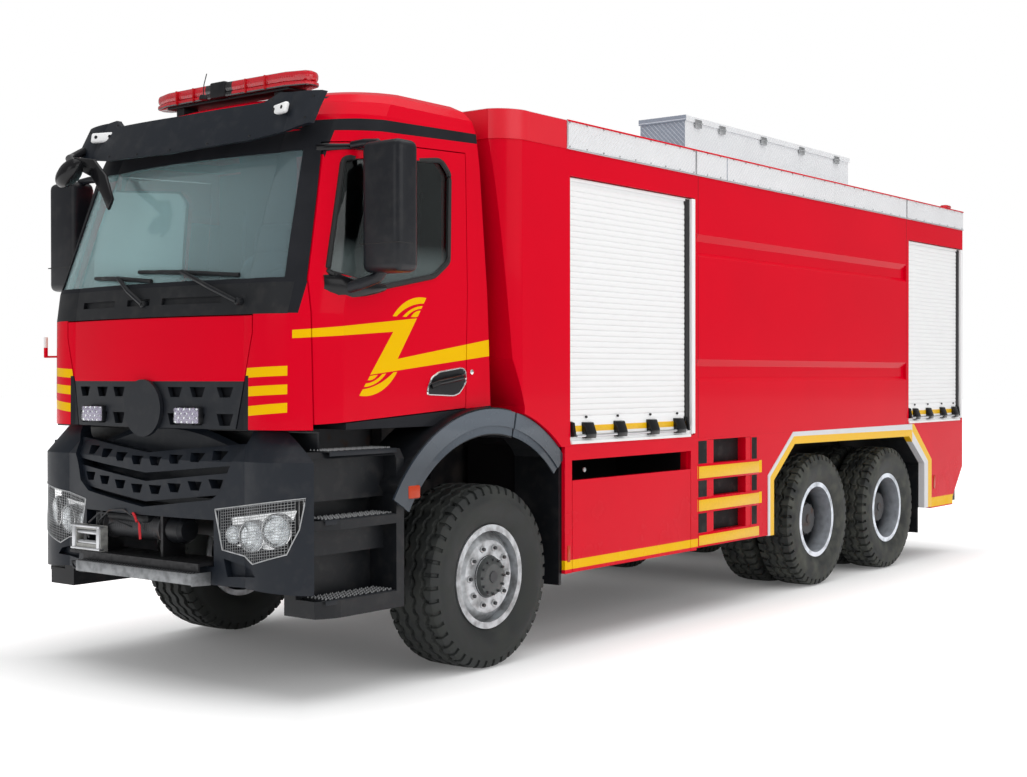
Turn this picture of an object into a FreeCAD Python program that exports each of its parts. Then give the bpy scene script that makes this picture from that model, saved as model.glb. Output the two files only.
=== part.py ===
"""Water tanker fire truck: a parametric FreeCAD document of its separate pieces.

Frame: +X points forward, +Y to the truck's left, +Z up. The origin lies on the ground under the
middle of the truck's length and width. Sizes are in millimetres.
"""
import FreeCAD, Part
import Sketcher
import os
import re

doc = FreeCAD.newDocument("water_tanker")

# ---------------------------------------------------------------- driving dimensions
SIZES = {
    # whole vehicle
    "overall_length": 8760, "front_overhang": 1560, "wheelbase": 4200, "tandem_pitch": 1350,
    # wheels
    "tyre_radius": 527, "bead_radius": 286, "flange_radius": 298, "flange_lip": 14, "rim_wall": 24,
    "front_tyre_width": 385, "front_tyre_face": 1245, "front_rim_half": 149,
    "rear_tyre_width": 312, "rear_tyre_face": 1212, "rear_rim_half": 114, "twin_gap": 38,
    "spindle_radius": 50, "hub_radius": 122, "drum_radius": 205, "running_gap": 0.05,
    "stud_circle_radius": 167.5, "stud_hole_radius": 13,
    # chassis
    "frame_half": 425, "rail_flange": 80, "rail_steel": 10, "rail_bottom": 760, "rail_height": 270,
    "kingpin_offset": 860, "kingpin_boss": 55, "beam_half": 55,
    # cab
    "cab_half": 1150, "cab_front": 1480, "cab_rear": -92, "cab_bottom": 1400, "cab_floor": 1560,
    "cab_wall": 60, "cab_roof": 3240, "glass_recess": 8, "glass_thick": 10, "door_gap": 6,
    "flap_top": 1990, "flap_thick": 25, "flap_gap": 8, "flap_half": 785, "cowl_thick": 40,
    "cowl_top": 2160, "fender_inner": 812, "fender_outer": 970,
    "fender_face": 1220, "seat_gap": 0.3,
    # bumper
    "bumper_front": 1500, "bumper_half": 1180, "bumper_top": 1392, "bumper_shoulder": 1236,
    "bumper_wall": 90, "bumper_back": 1302, "step_back": 690, "step_bottom": 440, "step_top": 1288,
    # body
    "body_half": 1250, "body_setback": 684, "body_length": 6446, "skirt_bottom": 470,
    "body_floor": 1245, "band_bottom": 3060, "roof_top": 3235, "box_depth": 770,
    "locker_rear": 2230, "rung_rear": 3254, "bay_rear": 6370, 
    "shutter_recess": 60, "shutter_thick": 35, "flap_height": 565, "panel_thick": 30,
    "trim_proud": 6, "trim_depth": 50,
    # roof box
    "roofbox_front": 2651, "roofbox_length": 2717, "roofbox_outer": 900, "roofbox_width": 385,
    "roofbox_top": 3535, "roofbox_wall": 12, "lid_thick": 40, "lid_overhang": 10,
}
sheet = doc.addObject("Spreadsheet::Sheet", "dims")
for row, (alias, size) in enumerate(SIZES.items(), 1):
    sheet.set("A%d" % row, alias)
    sheet.set("B%d" % row, str(size))
    sheet.setAlias("B%d" % row, alias)
doc.recompute()

# places worked out from the driving dimensions
PLACES = {
    "axle_one": "(overall_length/2-front_overhang)",
    "axle_two": "(axle_one-wheelbase)",
    "axle_three": "(axle_two-tandem_pitch)",
    "body_front": "(axle_one-body_setback)",
    "body_back": "(body_front-body_length)",
    "rail_top": "(rail_bottom+rail_height)",
    "front_centre": "(front_tyre_face-front_tyre_width/2)",
    "outer_centre": "(rear_tyre_face-rear_tyre_width/2)",
    "inner_centre": "(outer_centre-rear_tyre_width-twin_gap)",
    "twin_centre": "((outer_centre+inner_centre)/2)",
}


def expand(text):
    """Write the worked-out places in a formula as driving dimensions."""
    text = str(text)
    while any(re.search(r"\b%s\b" % name, text) for name in PLACES):
        for name, formula in PLACES.items():
            text = re.sub(r"\b%s\b" % name, formula, text)
    return text


def link(text):
    """A formula as an expression that reads the sheet."""
    return re.sub(r"\b([a-z]+(?:_[a-z]+)*)\b",
                  lambda word: "dims." + word.group() if word.group() in SIZES else word.group(),
                  expand(text))


def value(text):
    """The number that a formula gives now."""
    return float(sheet.evalExpression(expand(text)))


def bind(thing, **formulas):
    """Tie properties to the sheet; a double underscore stands for a dot."""
    for name, formula in formulas.items():
        thing.setExpression(name.replace("__", "."), link(formula))


# ---------------------------------------------------------------- ways of making a solid
def round_through(start, middle, stop):
    """The formula for the radius of the arc through three corners."""
    def reach(one, two):
        return "sqrt(((%s)-(%s))^2+((%s)-(%s))^2)" % (two[0], one[0], two[1], one[1])

    area = "abs(((%s)-(%s))*((%s)-(%s))-((%s)-(%s))*((%s)-(%s)))" % (
        middle[0], start[0], stop[1], start[1], stop[0], start[0], middle[1], start[1])
    return "%s*%s*%s/(2*%s)" % (reach(start, middle), reach(middle, stop), reach(start, stop), area)


def sketch(body, plane, corners, offset):
    """A closed outline. A corner is (u, v), or (u, v, (u, v)) where an arc leaves it through a point."""
    role = {"side": "XZ_Plane", "front": "YZ_Plane", "plan": "XY_Plane"}[plane]
    outline = body.newObject("Sketcher::SketchObject", "outline")
    datum = [feature for feature in body.Origin.OriginFeatures if feature.Role == role][0]
    outline.AttachmentSupport = [(datum, "")]
    outline.MapMode = "FlatFace"
    for letter, formula in zip("xyz", offset):
        outline.setExpression("AttachmentOffset.Base." + letter, link(formula))
    points = [FreeCAD.Vector(value(corner[0]), value(corner[1]), 0) for corner in corners]
    ends = []
    for index, corner in enumerate(corners):
        start, stop = points[index], points[(index + 1) % len(points)]
        if len(corner) > 2:
            through = FreeCAD.Vector(value(corner[2][0]), value(corner[2][1]), 0)
            outline.addGeometry(Part.Arc(start, through, stop), False)
        else:
            outline.addGeometry(Part.LineSegment(start, stop), False)
        forward = (outline.getPoint(index, 1) - start).Length < (outline.getPoint(index, 2) - start).Length
        ends.append((1, 2) if forward else (2, 1))

    def pin(geometry, end, place, point):
        for kind, formula, size in (("DistanceX", place[0], point.x), ("DistanceY", place[1], point.y)):
            number = outline.addConstraint(Sketcher.Constraint(kind, -1, 1, geometry, end, size))
            outline.setExpression("Constraints[%d]" % number, link(formula))

    for index, corner in enumerate(corners):
        pin(index, ends[index][0], corner, points[index])
    for index, corner in enumerate(corners):
        if len(corner) > 2:
            radius = round_through(corner, corner[2], corners[(index + 1) % len(corners)])
            number = outline.addConstraint(Sketcher.Constraint("Radius", index, value(radius)))
            outline.setExpression("Constraints[%d]" % number, link(radius))
    for index in range(len(points)):
        after = (index + 1) % len(points)
        meeting = (index, ends[index][1], after, ends[after][0])
        outline.addConstraint(Sketcher.Constraint("Coincident", *meeting))
    return outline


def slab(plane, corners, low, high):
    """An outline drawn from the side (x, z), front (y, z) or above (x, y), padded from low to high."""
    body = doc.addObject("PartDesign::Body", "slab")
    start = {"side": "-(%s)" % high}.get(plane, low)
    pad = body.newObject("PartDesign::Pad", "pad")
    pad.Profile = sketch(body, plane, corners, ("0", "0", start))
    bind(pad, Length="(%s)-(%s)" % (high, low))
    return body


def turned(centre_x, centre_z, corners):
    """A profile of (y, radius) corners turned about a line along Y through the centre."""
    body = doc.addObject("PartDesign::Body", "turned")
    spin = body.newObject("PartDesign::Revolution", "spin")
    profile = sketch(body, "front", corners, ("0", centre_z, centre_x))
    spin.Profile = profile
    spin.ReferenceAxis = (profile, ["H_Axis"])
    spin.Angle = 360
    return body


def loft(sections):
    """Plan outlines, each (height, corners), joined by straight-ruled faces."""
    body = doc.addObject("PartDesign::Body", "loft")
    outlines = [sketch(body, "plan", corners, ("0", "0", height)) for height, corners in sections]
    skin = body.newObject("PartDesign::AdditiveLoft", "skin")
    skin.Profile = outlines[0]
    skin.Sections = outlines[1:]
    skin.Ruled = True
    return body


def block(x, y, z):
    """A box between two corners, each range given as (low, high)."""
    box = doc.addObject("Part::Box", "block")
    for side, letter, span in (("Length", "x", x), ("Width", "y", y), ("Height", "z", z)):
        box.setExpression(side, link("(%s)-(%s)" % (span[1], span[0])))
        box.setExpression("Placement.Base." + letter, link(span[0]))
    return box


TURNS = {"x": FreeCAD.Rotation(FreeCAD.Vector(0, 1, 0), 90),
         "y": FreeCAD.Rotation(FreeCAD.Vector(1, 0, 0), -90),
         "z": FreeCAD.Rotation()}


def rod(along, centre, radius, low, high):
    """A round bar along x, y or z. Centre gives the other two coordinates in order."""
    bar = doc.addObject("Part::Cylinder", "rod")
    bar.Placement = FreeCAD.Placement(FreeCAD.Vector(), TURNS[along])
    places = list(centre)
    places.insert("xyz".index(along), low)
    for letter, formula in zip("xyz", places):
        bar.setExpression("Placement.Base." + letter, link(formula))
    bind(bar, Radius=radius, Height="(%s)-(%s)" % (high, low))
    return bar


def cut(base, *tools):
    """The base with each tool taken away."""
    result = doc.addObject("Part::Cut", "cut")
    result.Base = base
    result.Tool = tools[0] if len(tools) == 1 else fuse(*tools)
    result.Refine = True
    return result


def fuse(*shapes):
    result = doc.addObject("Part::MultiFuse", "fuse")
    result.Shapes = list(shapes)
    result.Refine = True
    return result


def common(*shapes):
    result = doc.addObject("Part::MultiCommon", "common")
    result.Shapes = list(shapes)
    result.Refine = True
    return result


def mirrored(shape):
    """The same piece on the truck's other side."""
    result = doc.addObject("Part::Mirroring", "mirrored")
    result.Source = shape
    result.Normal = FreeCAD.Vector(0, 1, 0)
    return result


def pair(left):
    """A piece and its mirror image, which don't touch."""
    result = doc.addObject("Part::Compound", "pair")
    result.Links = [left, mirrored(left)]
    return result


def group(*shapes):
    """Pieces that share a node and don't touch."""
    result = doc.addObject("Part::Compound", "group")
    result.Links = list(shapes)
    return result


NODES = []


def node(label, shape):
    """Name a finished sub-part."""
    shape.Label = label
    NODES.append(shape)
    return shape


# ---------------------------------------------------------------- wheels
def tyre_profile(centre, width, rim_half):
    """A tyre's section: flat tread, rounded shoulders, bulged walls and bead seats on the rim."""
    bead = "bead_radius"
    neck = "flange_radius+4"
    shoulder = "tyre_radius-42"
    belly = "(tyre_radius+bead_radius)/2"
    return [
        ("%s-%s" % (centre, rim_half), bead),
        ("%s-%s" % (centre, rim_half), neck, ("%s-%s/2" % (centre, width), belly)),
        ("%s-%s*0.48" % (centre, width), shoulder, ("%s-%s*0.46" % (centre, width), "tyre_radius-13")),
        ("%s-%s*0.42" % (centre, width), "tyre_radius"),
        ("%s+%s*0.42" % (centre, width), "tyre_radius", ("%s+%s*0.46" % (centre, width), "tyre_radius-13")),
        ("%s+%s*0.48" % (centre, width), shoulder, ("%s+%s/2" % (centre, width), belly)),
        ("%s+%s" % (centre, rim_half), neck),
        ("%s+%s" % (centre, rim_half), bead),
    ]


def barrel(centre, half):
    """The outside of a rim from its inner flange to its outer flange."""
    seat = "bead_radius-seat_gap"
    return [
        ("%s-%s-flange_lip" % (centre, half), "flange_radius"),
        ("%s-%s-seat_gap" % (centre, half), "flange_radius"),
        ("%s-%s-seat_gap" % (centre, half), seat),
        ("%s+%s+seat_gap" % (centre, half), seat),
        ("%s+%s+seat_gap" % (centre, half), "flange_radius"),
        ("%s+%s+flange_lip" % (centre, half), "flange_radius"),
    ]


def stud_holes(axle, low, high):
    """Ten stud holes on their circle."""
    return [rod("y", ("%s+stud_circle_radius*cos(%d)" % (axle, 36 * number),
                      "tyre_radius+stud_circle_radius*sin(%d)" % (36 * number)),
                "stud_hole_radius", low, high) for number in range(10)]


def front_wheel():
    """The steered wheel: a single wide tyre on a rim whose disc bulges outwards."""
    tyre = turned("axle_one", "tyre_radius",
                  tyre_profile("front_centre", "front_tyre_width", "front_rim_half"))
    inside = "bead_radius-rim_wall"
    rim = turned("axle_one", "tyre_radius", barrel("front_centre", "front_rim_half") + [
        ("front_centre+front_rim_half+flange_lip", inside),
        ("front_centre+104", inside),
        ("front_centre+150", "stud_circle_radius+40"),
        ("front_centre+150", "hub_radius"),
        ("front_centre+182", "hub_radius-14"),
        ("front_centre+188", "hub_radius-50"),
        ("front_centre+188", "0"),
        ("front_centre+140", "0"),
        ("front_centre+140", "spindle_radius+running_gap"),
        ("front_centre+40", "spindle_radius+running_gap"),
        ("front_centre+40", "hub_radius"),
        ("front_centre+136", "hub_radius"),
        ("front_centre+136", "stud_circle_radius+36"),
        ("front_centre+86", inside),
        ("front_centre-front_rim_half-flange_lip", inside),
    ])
    return tyre, cut(rim, *stud_holes("axle_one", "front_centre+130", "front_centre+156"))


def twin_wheels(axle):
    """Two tyres side by side on rims whose discs meet between them."""
    tyres = [turned(axle, "tyre_radius", tyre_profile(centre, "rear_tyre_width", "rear_rim_half"))
             for centre in ("outer_centre", "inner_centre")]
    inside = "bead_radius-rim_wall"
    rims = turned(axle, "tyre_radius", barrel("inner_centre", "rear_rim_half") + [
        ("inner_centre+rear_rim_half+flange_lip", inside),
        ("twin_centre", "stud_circle_radius+60"),
        ("outer_centre-rear_rim_half-flange_lip", inside),
    ] + barrel("outer_centre", "rear_rim_half") + [
        ("outer_centre+rear_rim_half+flange_lip", inside),
        ("outer_centre-rear_rim_half+20", inside),
        ("twin_centre+16", "stud_circle_radius+42"),
        ("twin_centre+16", "hub_radius+8"),
        ("outer_centre+20", "hub_radius"),
        ("outer_centre+44", "hub_radius-30"),
        ("outer_centre+44", "0"),
        ("outer_centre", "0"),
        ("outer_centre", "spindle_radius+running_gap"),
        ("twin_centre-60", "spindle_radius+running_gap"),
        ("twin_centre-60", "hub_radius+8"),
        ("twin_centre-16", "hub_radius+8"),
        ("twin_centre-16", "stud_circle_radius+42"),
        ("inner_centre+rear_rim_half-20", inside),
        ("inner_centre-rear_rim_half-flange_lip", inside),
    ])
    return group(*tyres), cut(rims, *stud_holes(axle, "twin_centre-20", "twin_centre+20"))


tyre, rim = front_wheel()
node("left_front_tyre", tyre)
node("left_front_rim", rim)
node("right_front_tyre", mirrored(tyre))
node("right_front_rim", mirrored(rim))
for place, axle in (("middle", "axle_two"), ("rear", "axle_three")):
    tyres, rims = twin_wheels(axle)
    node("left_%s_tyres" % place, tyres)
    node("left_%s_rims" % place, rims)
    node("right_%s_tyres" % place, mirrored(tyres))
    node("right_%s_rims" % place, mirrored(rims))

# ---------------------------------------------------------------- axles and steering
YOKE = 45
knuckle = fuse(
    rod("y", ("axle_one", "tyre_radius"), "drum_radius-5", "kingpin_offset+75", "front_centre+28"),
    rod("y", ("axle_one", "tyre_radius"), "spindle_radius", "kingpin_offset+80", "front_centre+139.5"),
    *[shape for low in ("tyre_radius+85.3", "tyre_radius-85.3-%d" % YOKE) for shape in (
        rod("z", ("axle_one", "kingpin_offset"), "kingpin_boss+6", low, "%s+%d" % (low, YOKE)),
        block(("axle_one-kingpin_boss", "axle_one+kingpin_boss"),
              ("kingpin_offset", "kingpin_offset+80"), (low, "%s+%d" % (low, YOKE))))])
node("left_knuckle", knuckle)
node("right_knuckle", mirrored(knuckle))


def front_spring(y):
    """A leaf pack that hangs under the rail by its ends and rests on the axle beam."""
    return slab("side", [
        ("axle_one-740", "rail_bottom-22", ("axle_one", "tyre_radius+beam_half+4")),
        ("axle_one+740", "rail_bottom-22"), ("axle_one+740", "rail_bottom"),
        ("axle_one+690", "rail_bottom", ("axle_one", "tyre_radius+beam_half+84")),
        ("axle_one-690", "rail_bottom"), ("axle_one-740", "rail_bottom")],
        "%s-38" % y, "%s+38" % y)


beam = block(("axle_one-beam_half", "axle_one+beam_half"), ("-kingpin_offset", "kingpin_offset"),
             ("tyre_radius-beam_half", "tyre_radius+beam_half"))
bosses = [rod("z", ("axle_one", "%s*kingpin_offset" % sign), "kingpin_boss", "tyre_radius-85",
              "tyre_radius+85") for sign in ("-1", "1")]
seats_front = [block(("axle_one-70", "axle_one+70"), ("%s-38" % y, "%s+38" % y),
                     ("tyre_radius+beam_half-5", "tyre_radius+beam_half+20"))
               for y in ("frame_half-40", "40-frame_half")]
springs_front = [front_spring(y) for y in ("frame_half-40", "40-frame_half")]
node("front_axle", fuse(beam, *(bosses + seats_front + springs_front)))


def rear_axle(axle):
    """A driven axle: tube, differential housing, and on each side a drum and a spindle."""
    tube = rod("y", (axle, "tyre_radius"), 78, "-500", "500")
    housing = turned(axle, "tyre_radius", [("-150", "0"), ("-150", "90"), ("-70", "185"),
                                           ("70", "185"), ("150", "90"), ("150", "0")])
    nose = rod("x", ("0", "tyre_radius"), 95, "%s+100" % axle, "%s+300" % axle)
    ends = []
    for low, high, drum_low, drum_high in (
            ("480", "outer_centre-0.5", "500", "twin_centre-72"),
            ("0.5-outer_centre", "-480", "72-twin_centre", "-500")):
        ends.append(rod("y", (axle, "tyre_radius"), "spindle_radius", low, high))
        ends.append(rod("y", (axle, "tyre_radius"), "drum_radius", drum_low, drum_high))
    return fuse(tube, housing, nose, *ends)


def bogie_spring(low, high):
    """The leaf pack that joins the two rear axles, on a trunnion bracket beside the rail."""
    middle = "(axle_two+axle_three)/2"
    leaves = slab("side", [
        ("axle_three-90", "tyre_radius+72"), ("axle_three+60", "tyre_radius+72", (middle, "rail_bottom-80")),
        ("axle_two-60", "tyre_radius+72"), ("axle_two+90", "tyre_radius+72"),
        ("axle_two+90", "tyre_radius+104"),
        ("axle_two+40", "tyre_radius+112", (middle, "rail_bottom+30")),
        ("axle_three-40", "tyre_radius+112"), ("axle_three-90", "tyre_radius+104")], low, high)
    bracket = slab("side", [("%s-150" % middle, "rail_bottom+120"), ("%s-70" % middle, "rail_bottom-60"),
                            ("%s+70" % middle, "rail_bottom-60"), ("%s+150" % middle, "rail_bottom+120")],
                   low, high)
    return [leaves, bracket]


node("rear_axles", fuse(rear_axle("axle_two"), rear_axle("axle_three"),
                        *(bogie_spring("frame_half", "frame_half+58")
                          + bogie_spring("-frame_half-58", "-frame_half"))))

# ---------------------------------------------------------------- chassis and engine
RAIL = [("frame_half", "rail_bottom"), ("frame_half", "rail_top"),
        ("frame_half-rail_flange", "rail_top"), ("frame_half-rail_flange", "rail_top-rail_steel"),
        ("frame_half-rail_steel", "rail_top-rail_steel"),
        ("frame_half-rail_steel", "rail_bottom+rail_steel"),
        ("frame_half-rail_flange", "rail_bottom+rail_steel"), ("frame_half-rail_flange", "rail_bottom")]
rail = slab("front", RAIL, "body_back+60", "axle_one+bumper_back")
members = [block(("%s-45" % x, "%s+45" % x), ("rail_steel-frame_half", "frame_half-rail_steel"),
                 ("rail_bottom+40", "rail_bottom+130"))
           for x in ("axle_one+1150", "axle_one+450", "axle_one-500", "axle_two+1500", "axle_two+700",
                     "(axle_two+axle_three)/2", "axle_three-700", "body_back+110")]
bearer = block(("body_back+60", "body_front+300"), ("frame_half-rail_flange", "frame_half"),
               ("rail_top", "body_floor"))
mount_front = block(("axle_one+1080", "axle_one+1200"), ("frame_half-rail_flange", "frame_half"),
                    ("rail_top", "cab_bottom"))
mount_rear = block(("axle_one-60", "axle_one+60"), ("frame_half-rail_flange", "frame_half"),
                   ("rail_top", "cab_bottom"))
half_frame = [rail, bearer, mount_front, mount_rear]
node("chassis_frame", fuse(*(half_frame + [mirrored(shape) for shape in half_frame] + members)))
node("engine_block", block(("axle_one-250", "axle_one+900"), ("-320", "320"), ("rail_bottom+130", "1370")))


# ---------------------------------------------------------------- cab
def cab_outline(front, half, rear, inset):
    """The cab in plan: straight sides, tight front corners and a gently bowed nose."""
    nose, side, back = "%s-%s" % (front, inset), "%s-%s" % (half, inset), "%s+%s" % (rear, inset)
    nose, side, back = "axle_one+" + nose, "(%s)" % side, "axle_one+" + back
    return [(back, side), (back, "-" + side), (nose + "-360", "-" + side, (nose + "-186", "-%s+90" % side)),
            (nose + "-65", "430-" + side, (nose, "0")),
            (nose + "-65", side + "-430", (nose + "-186", side + "-90")), (nose + "-360", side)]


def cab_form(inset, bottom="cab_bottom"):
    """The cab's outer form, or one that lies inset inside it."""
    inset = "(%s)" % inset
    heights = [(bottom, "cab_front", "cab_half", "cab_rear"),
               ("cab_floor+440", "cab_front-6", "cab_half", "cab_rear+25"),
               ("cowl_top", "cab_front-30", "cab_half", "cab_rear+34"),
               ("cab_roof-360", "cab_front-285", "cab_half-26", "cab_rear+70"),
               ("cab_roof-170", "cab_front-375", "cab_half-42", "cab_rear+82"),
               ("cab_roof-95-%s*0.3" % inset, "cab_front-430", "cab_half-62", "cab_rear+98"),
               ("cab_roof-42-%s*0.6" % inset, "cab_front-500", "cab_half-98", "cab_rear+132"),
               ("cab_roof-12-%s*0.9" % inset, "cab_front-580", "cab_half-150", "cab_rear+182"),
               ("cab_roof-%s" % inset, "cab_front-680", "cab_half-235", "cab_rear+262")]
    return loft([(height, cab_outline(front, half, rear, inset)) for height, front, half, rear in heights])


outer = cab_form("0")
inner = cut(cab_form("cab_wall"), block(("axle_one-1000", "axle_one+2000"), ("-2000", "2000"),
                                        ("cab_bottom-100", "cab_floor")))
shell = cut(outer, inner)
wall = cut(outer, cab_form("cab_wall"))
deep_wall = cut(outer, cab_form("cab_wall+door_gap"))
pane = cut(cab_form("glass_recess"), cab_form("glass_recess+glass_thick"))


def door_outline(grow):
    """The door from the side: leaning front edge, sill that steps up over the wheel."""
    return [("axle_one+139-%s" % grow, "1497-%s" % grow), ("axle_one+1262+%s" % grow, "1429-%s" % grow),
            ("axle_one+1270+%s" % grow, "2170"), ("axle_one+1062+%s" % grow, "2905+%s" % grow),
            ("axle_one+104-%s" % grow, "2945+%s" % grow)]


WINDOW = [("axle_one+1178", "2212"), ("axle_one+1008", "2818"), ("axle_one+322", "2876"),
          ("axle_one+254", "2807"), ("axle_one+284", "2316"), ("axle_one+402", "2233"),
          ("axle_one+809", "2156")]
doorway = common(deep_wall, slab("side", door_outline("door_gap"), "700", "1400"))
door_block = slab("side", door_outline("0"), "700", "1400")
window = slab("side", WINDOW, "600", "1400")
SCREEN = [("-950", "cowl_top+25"), ("950", "cowl_top+25"), ("862", "cab_roof-370"),
          ("-862", "cab_roof-370")]
screen_hole = slab("front", SCREEN, "axle_one+700", "axle_one+1700")


def flap_outline(grow):
    """The service flap from the front, grille and bonnet panel together."""
    edge = [("668+%s" % grow, "1395-%s" % grow), ("722+%s" % grow, "1651"),
            ("flap_half+%s" % grow, "flap_top-90"),
            ("flap_half+%s" % grow, "flap_top+%s" % grow)]
    return edge + [("-(%s)" % across, height) for across, height in reversed(edge)]


flap_skin = cut(outer, cab_form("flap_thick", "cab_bottom-100"))
recess_skin = cut(outer, cab_form("cowl_thick", "cab_bottom-100"))
cowl_skin = cut(outer, cab_form("cowl_thick-seat_gap", "cab_bottom-100"))
flap_recess = common(recess_skin, slab("front", flap_outline("flap_gap"), "axle_one+900", "axle_one+1700"))


def cowl_outline(grow):
    """The black cowl under the windscreen, from the front."""
    return [("-985-%s" % grow, "flap_top+flap_gap-%s" % grow),
            ("985+%s" % grow, "flap_top+flap_gap-%s" % grow),
            ("1000+%s" % grow, "cowl_top+%s" % grow), ("-1000-%s" % grow, "cowl_top+%s" % grow)]


cowl_zone = slab("front", cowl_outline("seat_gap"), "axle_one+1280-seat_gap", "axle_one+1700")
cowl_body = slab("front", cowl_outline("0"), "axle_one+1280", "axle_one+1700")
arch = rod("y", ("axle_one", "tyre_radius"), "fender_outer+seat_gap", "880", "1400")
hinge_room = block(("axle_one+1100", "axle_one+1262+door_gap"), ("900", "1200"),
                   ("cab_bottom-10", "cab_floor+20"))
cab_cuts = [doorway, mirrored(doorway), hinge_room, mirrored(hinge_room), screen_hole, flap_recess,
            common(recess_skin, cowl_zone), arch,
            mirrored(arch)]
node("cab_shell", cut(shell, *cab_cuts))
node("windscreen", common(pane, screen_hole))
door = cut(common(wall, door_block), window, arch)
node("left_door", door)
node("right_door", mirrored(door))
door_glass = common(pane, window)
node("left_door_glass", door_glass)
node("right_door_glass", mirrored(door_glass))

# bonnet panel above, grille below, on one flap that hinges at its top edge
flap_zone = slab("front", flap_outline("0"), "axle_one+900", "axle_one+1700")
bonnet_zone = block(("axle_one+900", "axle_one+1700"), ("-900", "900"), ("1651", "flap_top+10"))
grille_zone = block(("axle_one+900", "axle_one+1700"), ("-900", "900"), ("1380", "1651"))
stop_skin = cut(cab_form("flap_thick-3"), cab_form("cowl_thick-seat_gap"))
stops = [common(stop_skin, block(("axle_one+1200", "axle_one+1500"), (low, high), ("1690", "1730")))
         for low, high in (("-660", "-600"), ("600", "660"))]
node("bonnet_flap", fuse(common(flap_skin, flap_zone, bonnet_zone), *stops))


def opening(middle, low, high, wide, lean=0):
    """A grille opening from the front: a trapezoid, wider at its top, cut right through."""
    return slab("front", [("%g" % (middle - wide / 2 + 22), "%g" % low),
                          ("%g" % (middle + wide / 2 - 22), "%g" % low),
                          ("%g" % (middle + wide / 2), "%g" % (high + lean)),
                          ("%g" % (middle - wide / 2), "%g" % high)],
                "axle_one+1150", "axle_one+1700")


upper_holes = [opening(sign * middle, low, low + height, 112)
               for low, height in ((1566, 54), (1418, 62)) for middle in (240, 407, 598) for sign in (1, -1)]
boss = [rod("x", ("0", "1505"), 118, "axle_one+cab_front-20", "axle_one+cab_front+8"),
        rod("x", ("0", "1505"), 155, "axle_one+cab_front+seat_gap", "axle_one+cab_front+22")]
node("grille", fuse(cut(common(flap_skin, flap_zone, grille_zone), *upper_holes), *boss))
slot_floor = cab_form("18", "cab_bottom-100")
cowl_slots = [cut(slab("front", [(low, "2062"), (high, "2062"), (high, "2098"), (low, "2098")],
                       "axle_one+1300", "axle_one+1700"), slot_floor)
              for low, high in (("-640", "-300"), ("120", "560"), ("-180", "20"))]
node("wiper_cowl", cut(common(cowl_skin, cowl_body), *cowl_slots))

# sun visor, light bar
visor_form = cut(cab_form("-135"), cab_form("-110"))
visor_edge = [("0", "2905"), ("600", "2925"), ("850", "2958"), ("990", "2990"), ("990", "3172"),
              ("700", "3188"), ("610", "3140"), ("0", "3130")]
VISOR = visor_edge + [("-" + across, height) for across, height in reversed(visor_edge[1:-1])]
brackets = [cut(common(cab_form("-118"), block(("axle_one+700", "axle_one+1700"), (low, high),
                                               ("3010", "3040"))),
                cab_form("-0.3"))
            for low, high in (("-840", "-800"), ("-320", "-280"), ("280", "320"), ("800", "840"))]
node("sun_visor", fuse(common(visor_form, slab("front", VISOR, "axle_one+900", "axle_one+1800")), *brackets))
BAR = [("axle_one+700", "-640"), ("axle_one+750", "-708"), ("axle_one+880", "-708"),
       ("axle_one+945", "-640"), ("axle_one+945", "640"), ("axle_one+880", "708"),
       ("axle_one+750", "708"), ("axle_one+700", "640")]
BAR_ENDS = [("-715", "cab_roof+30"), ("715", "cab_roof+30"), ("715", "cab_roof+92"), ("540", "cab_roof+140"),
            ("-540", "cab_roof+140"), ("-715", "cab_roof+92")]
feet = [block(("axle_one+720", "axle_one+790"), ("%s-40" % y, "%s+40" % y), ("cab_roof", "cab_roof+30"))
        for y in ("-500", "500")]
bar = common(slab("plan", BAR, "cab_roof+30", "cab_roof+150"),
             slab("front", BAR_ENDS, "axle_one+600", "axle_one+1000"))
node("light_bar", fuse(bar, *feet))


# ---------------------------------------------------------------- mirrors on the doors
def mirror():
    """A tall housing on two arms that end against the door's frame."""
    housing = slab("plan", [("axle_one+930", "1225"), ("axle_one+945", "1455"),
                            ("axle_one+990", "1470", ("axle_one+1062", "1345")),
                            ("axle_one+990", "1220")], "2210", "2880")
    low_arm = slab("plan", [("axle_one+1215", "980"), ("axle_one+1255", "980"), ("axle_one+1255", "1100"),
                            ("axle_one+1010", "1300"), ("axle_one+980", "1300"), ("axle_one+980", "1260"),
                            ("axle_one+1215", "1070")], "2222", "2262")
    top_arm = slab("plan", [("axle_one+1125", "1000"), ("axle_one+1160", "1000"), ("axle_one+1160", "1120"),
                            ("axle_one+1010", "1300"), ("axle_one+980", "1300"), ("axle_one+980", "1260"),
                            ("axle_one+1125", "1100")], "2838", "2868")
    return cut(fuse(housing, low_arm, top_arm), cab_form("-seat_gap"))


left_mirror = mirror()
node("left_mirror", left_mirror)
node("right_mirror", mirrored(left_mirror))


# ---------------------------------------------------------------- bumper, lamps and winch
def nose_outline(inset):
    """The bumper in plan, a little larger than the cab's nose."""
    nose = "axle_one+bumper_front-(%s)" % inset
    side = "(bumper_half-(%s))" % inset
    back = "axle_one+600"
    return [(back, side), (back, "-" + side), (nose + "-330", "-" + side, (nose + "-160", "90-" + side)),
            (nose + "-65", "430-" + side, (nose, "0")),
            (nose + "-65", side + "-430", (nose + "-160", side + "-90")), (nose + "-330", side)]


def nose_form(inset):
    """Upright below, leaning back above the shoulder."""
    shoulder = "bumper_shoulder-(%s)*0.3" % inset
    return loft([("300", nose_outline(inset)), (shoulder, nose_outline(inset)),
                 ("bumper_top+20", nose_outline("%s+105" % inset))])


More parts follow.
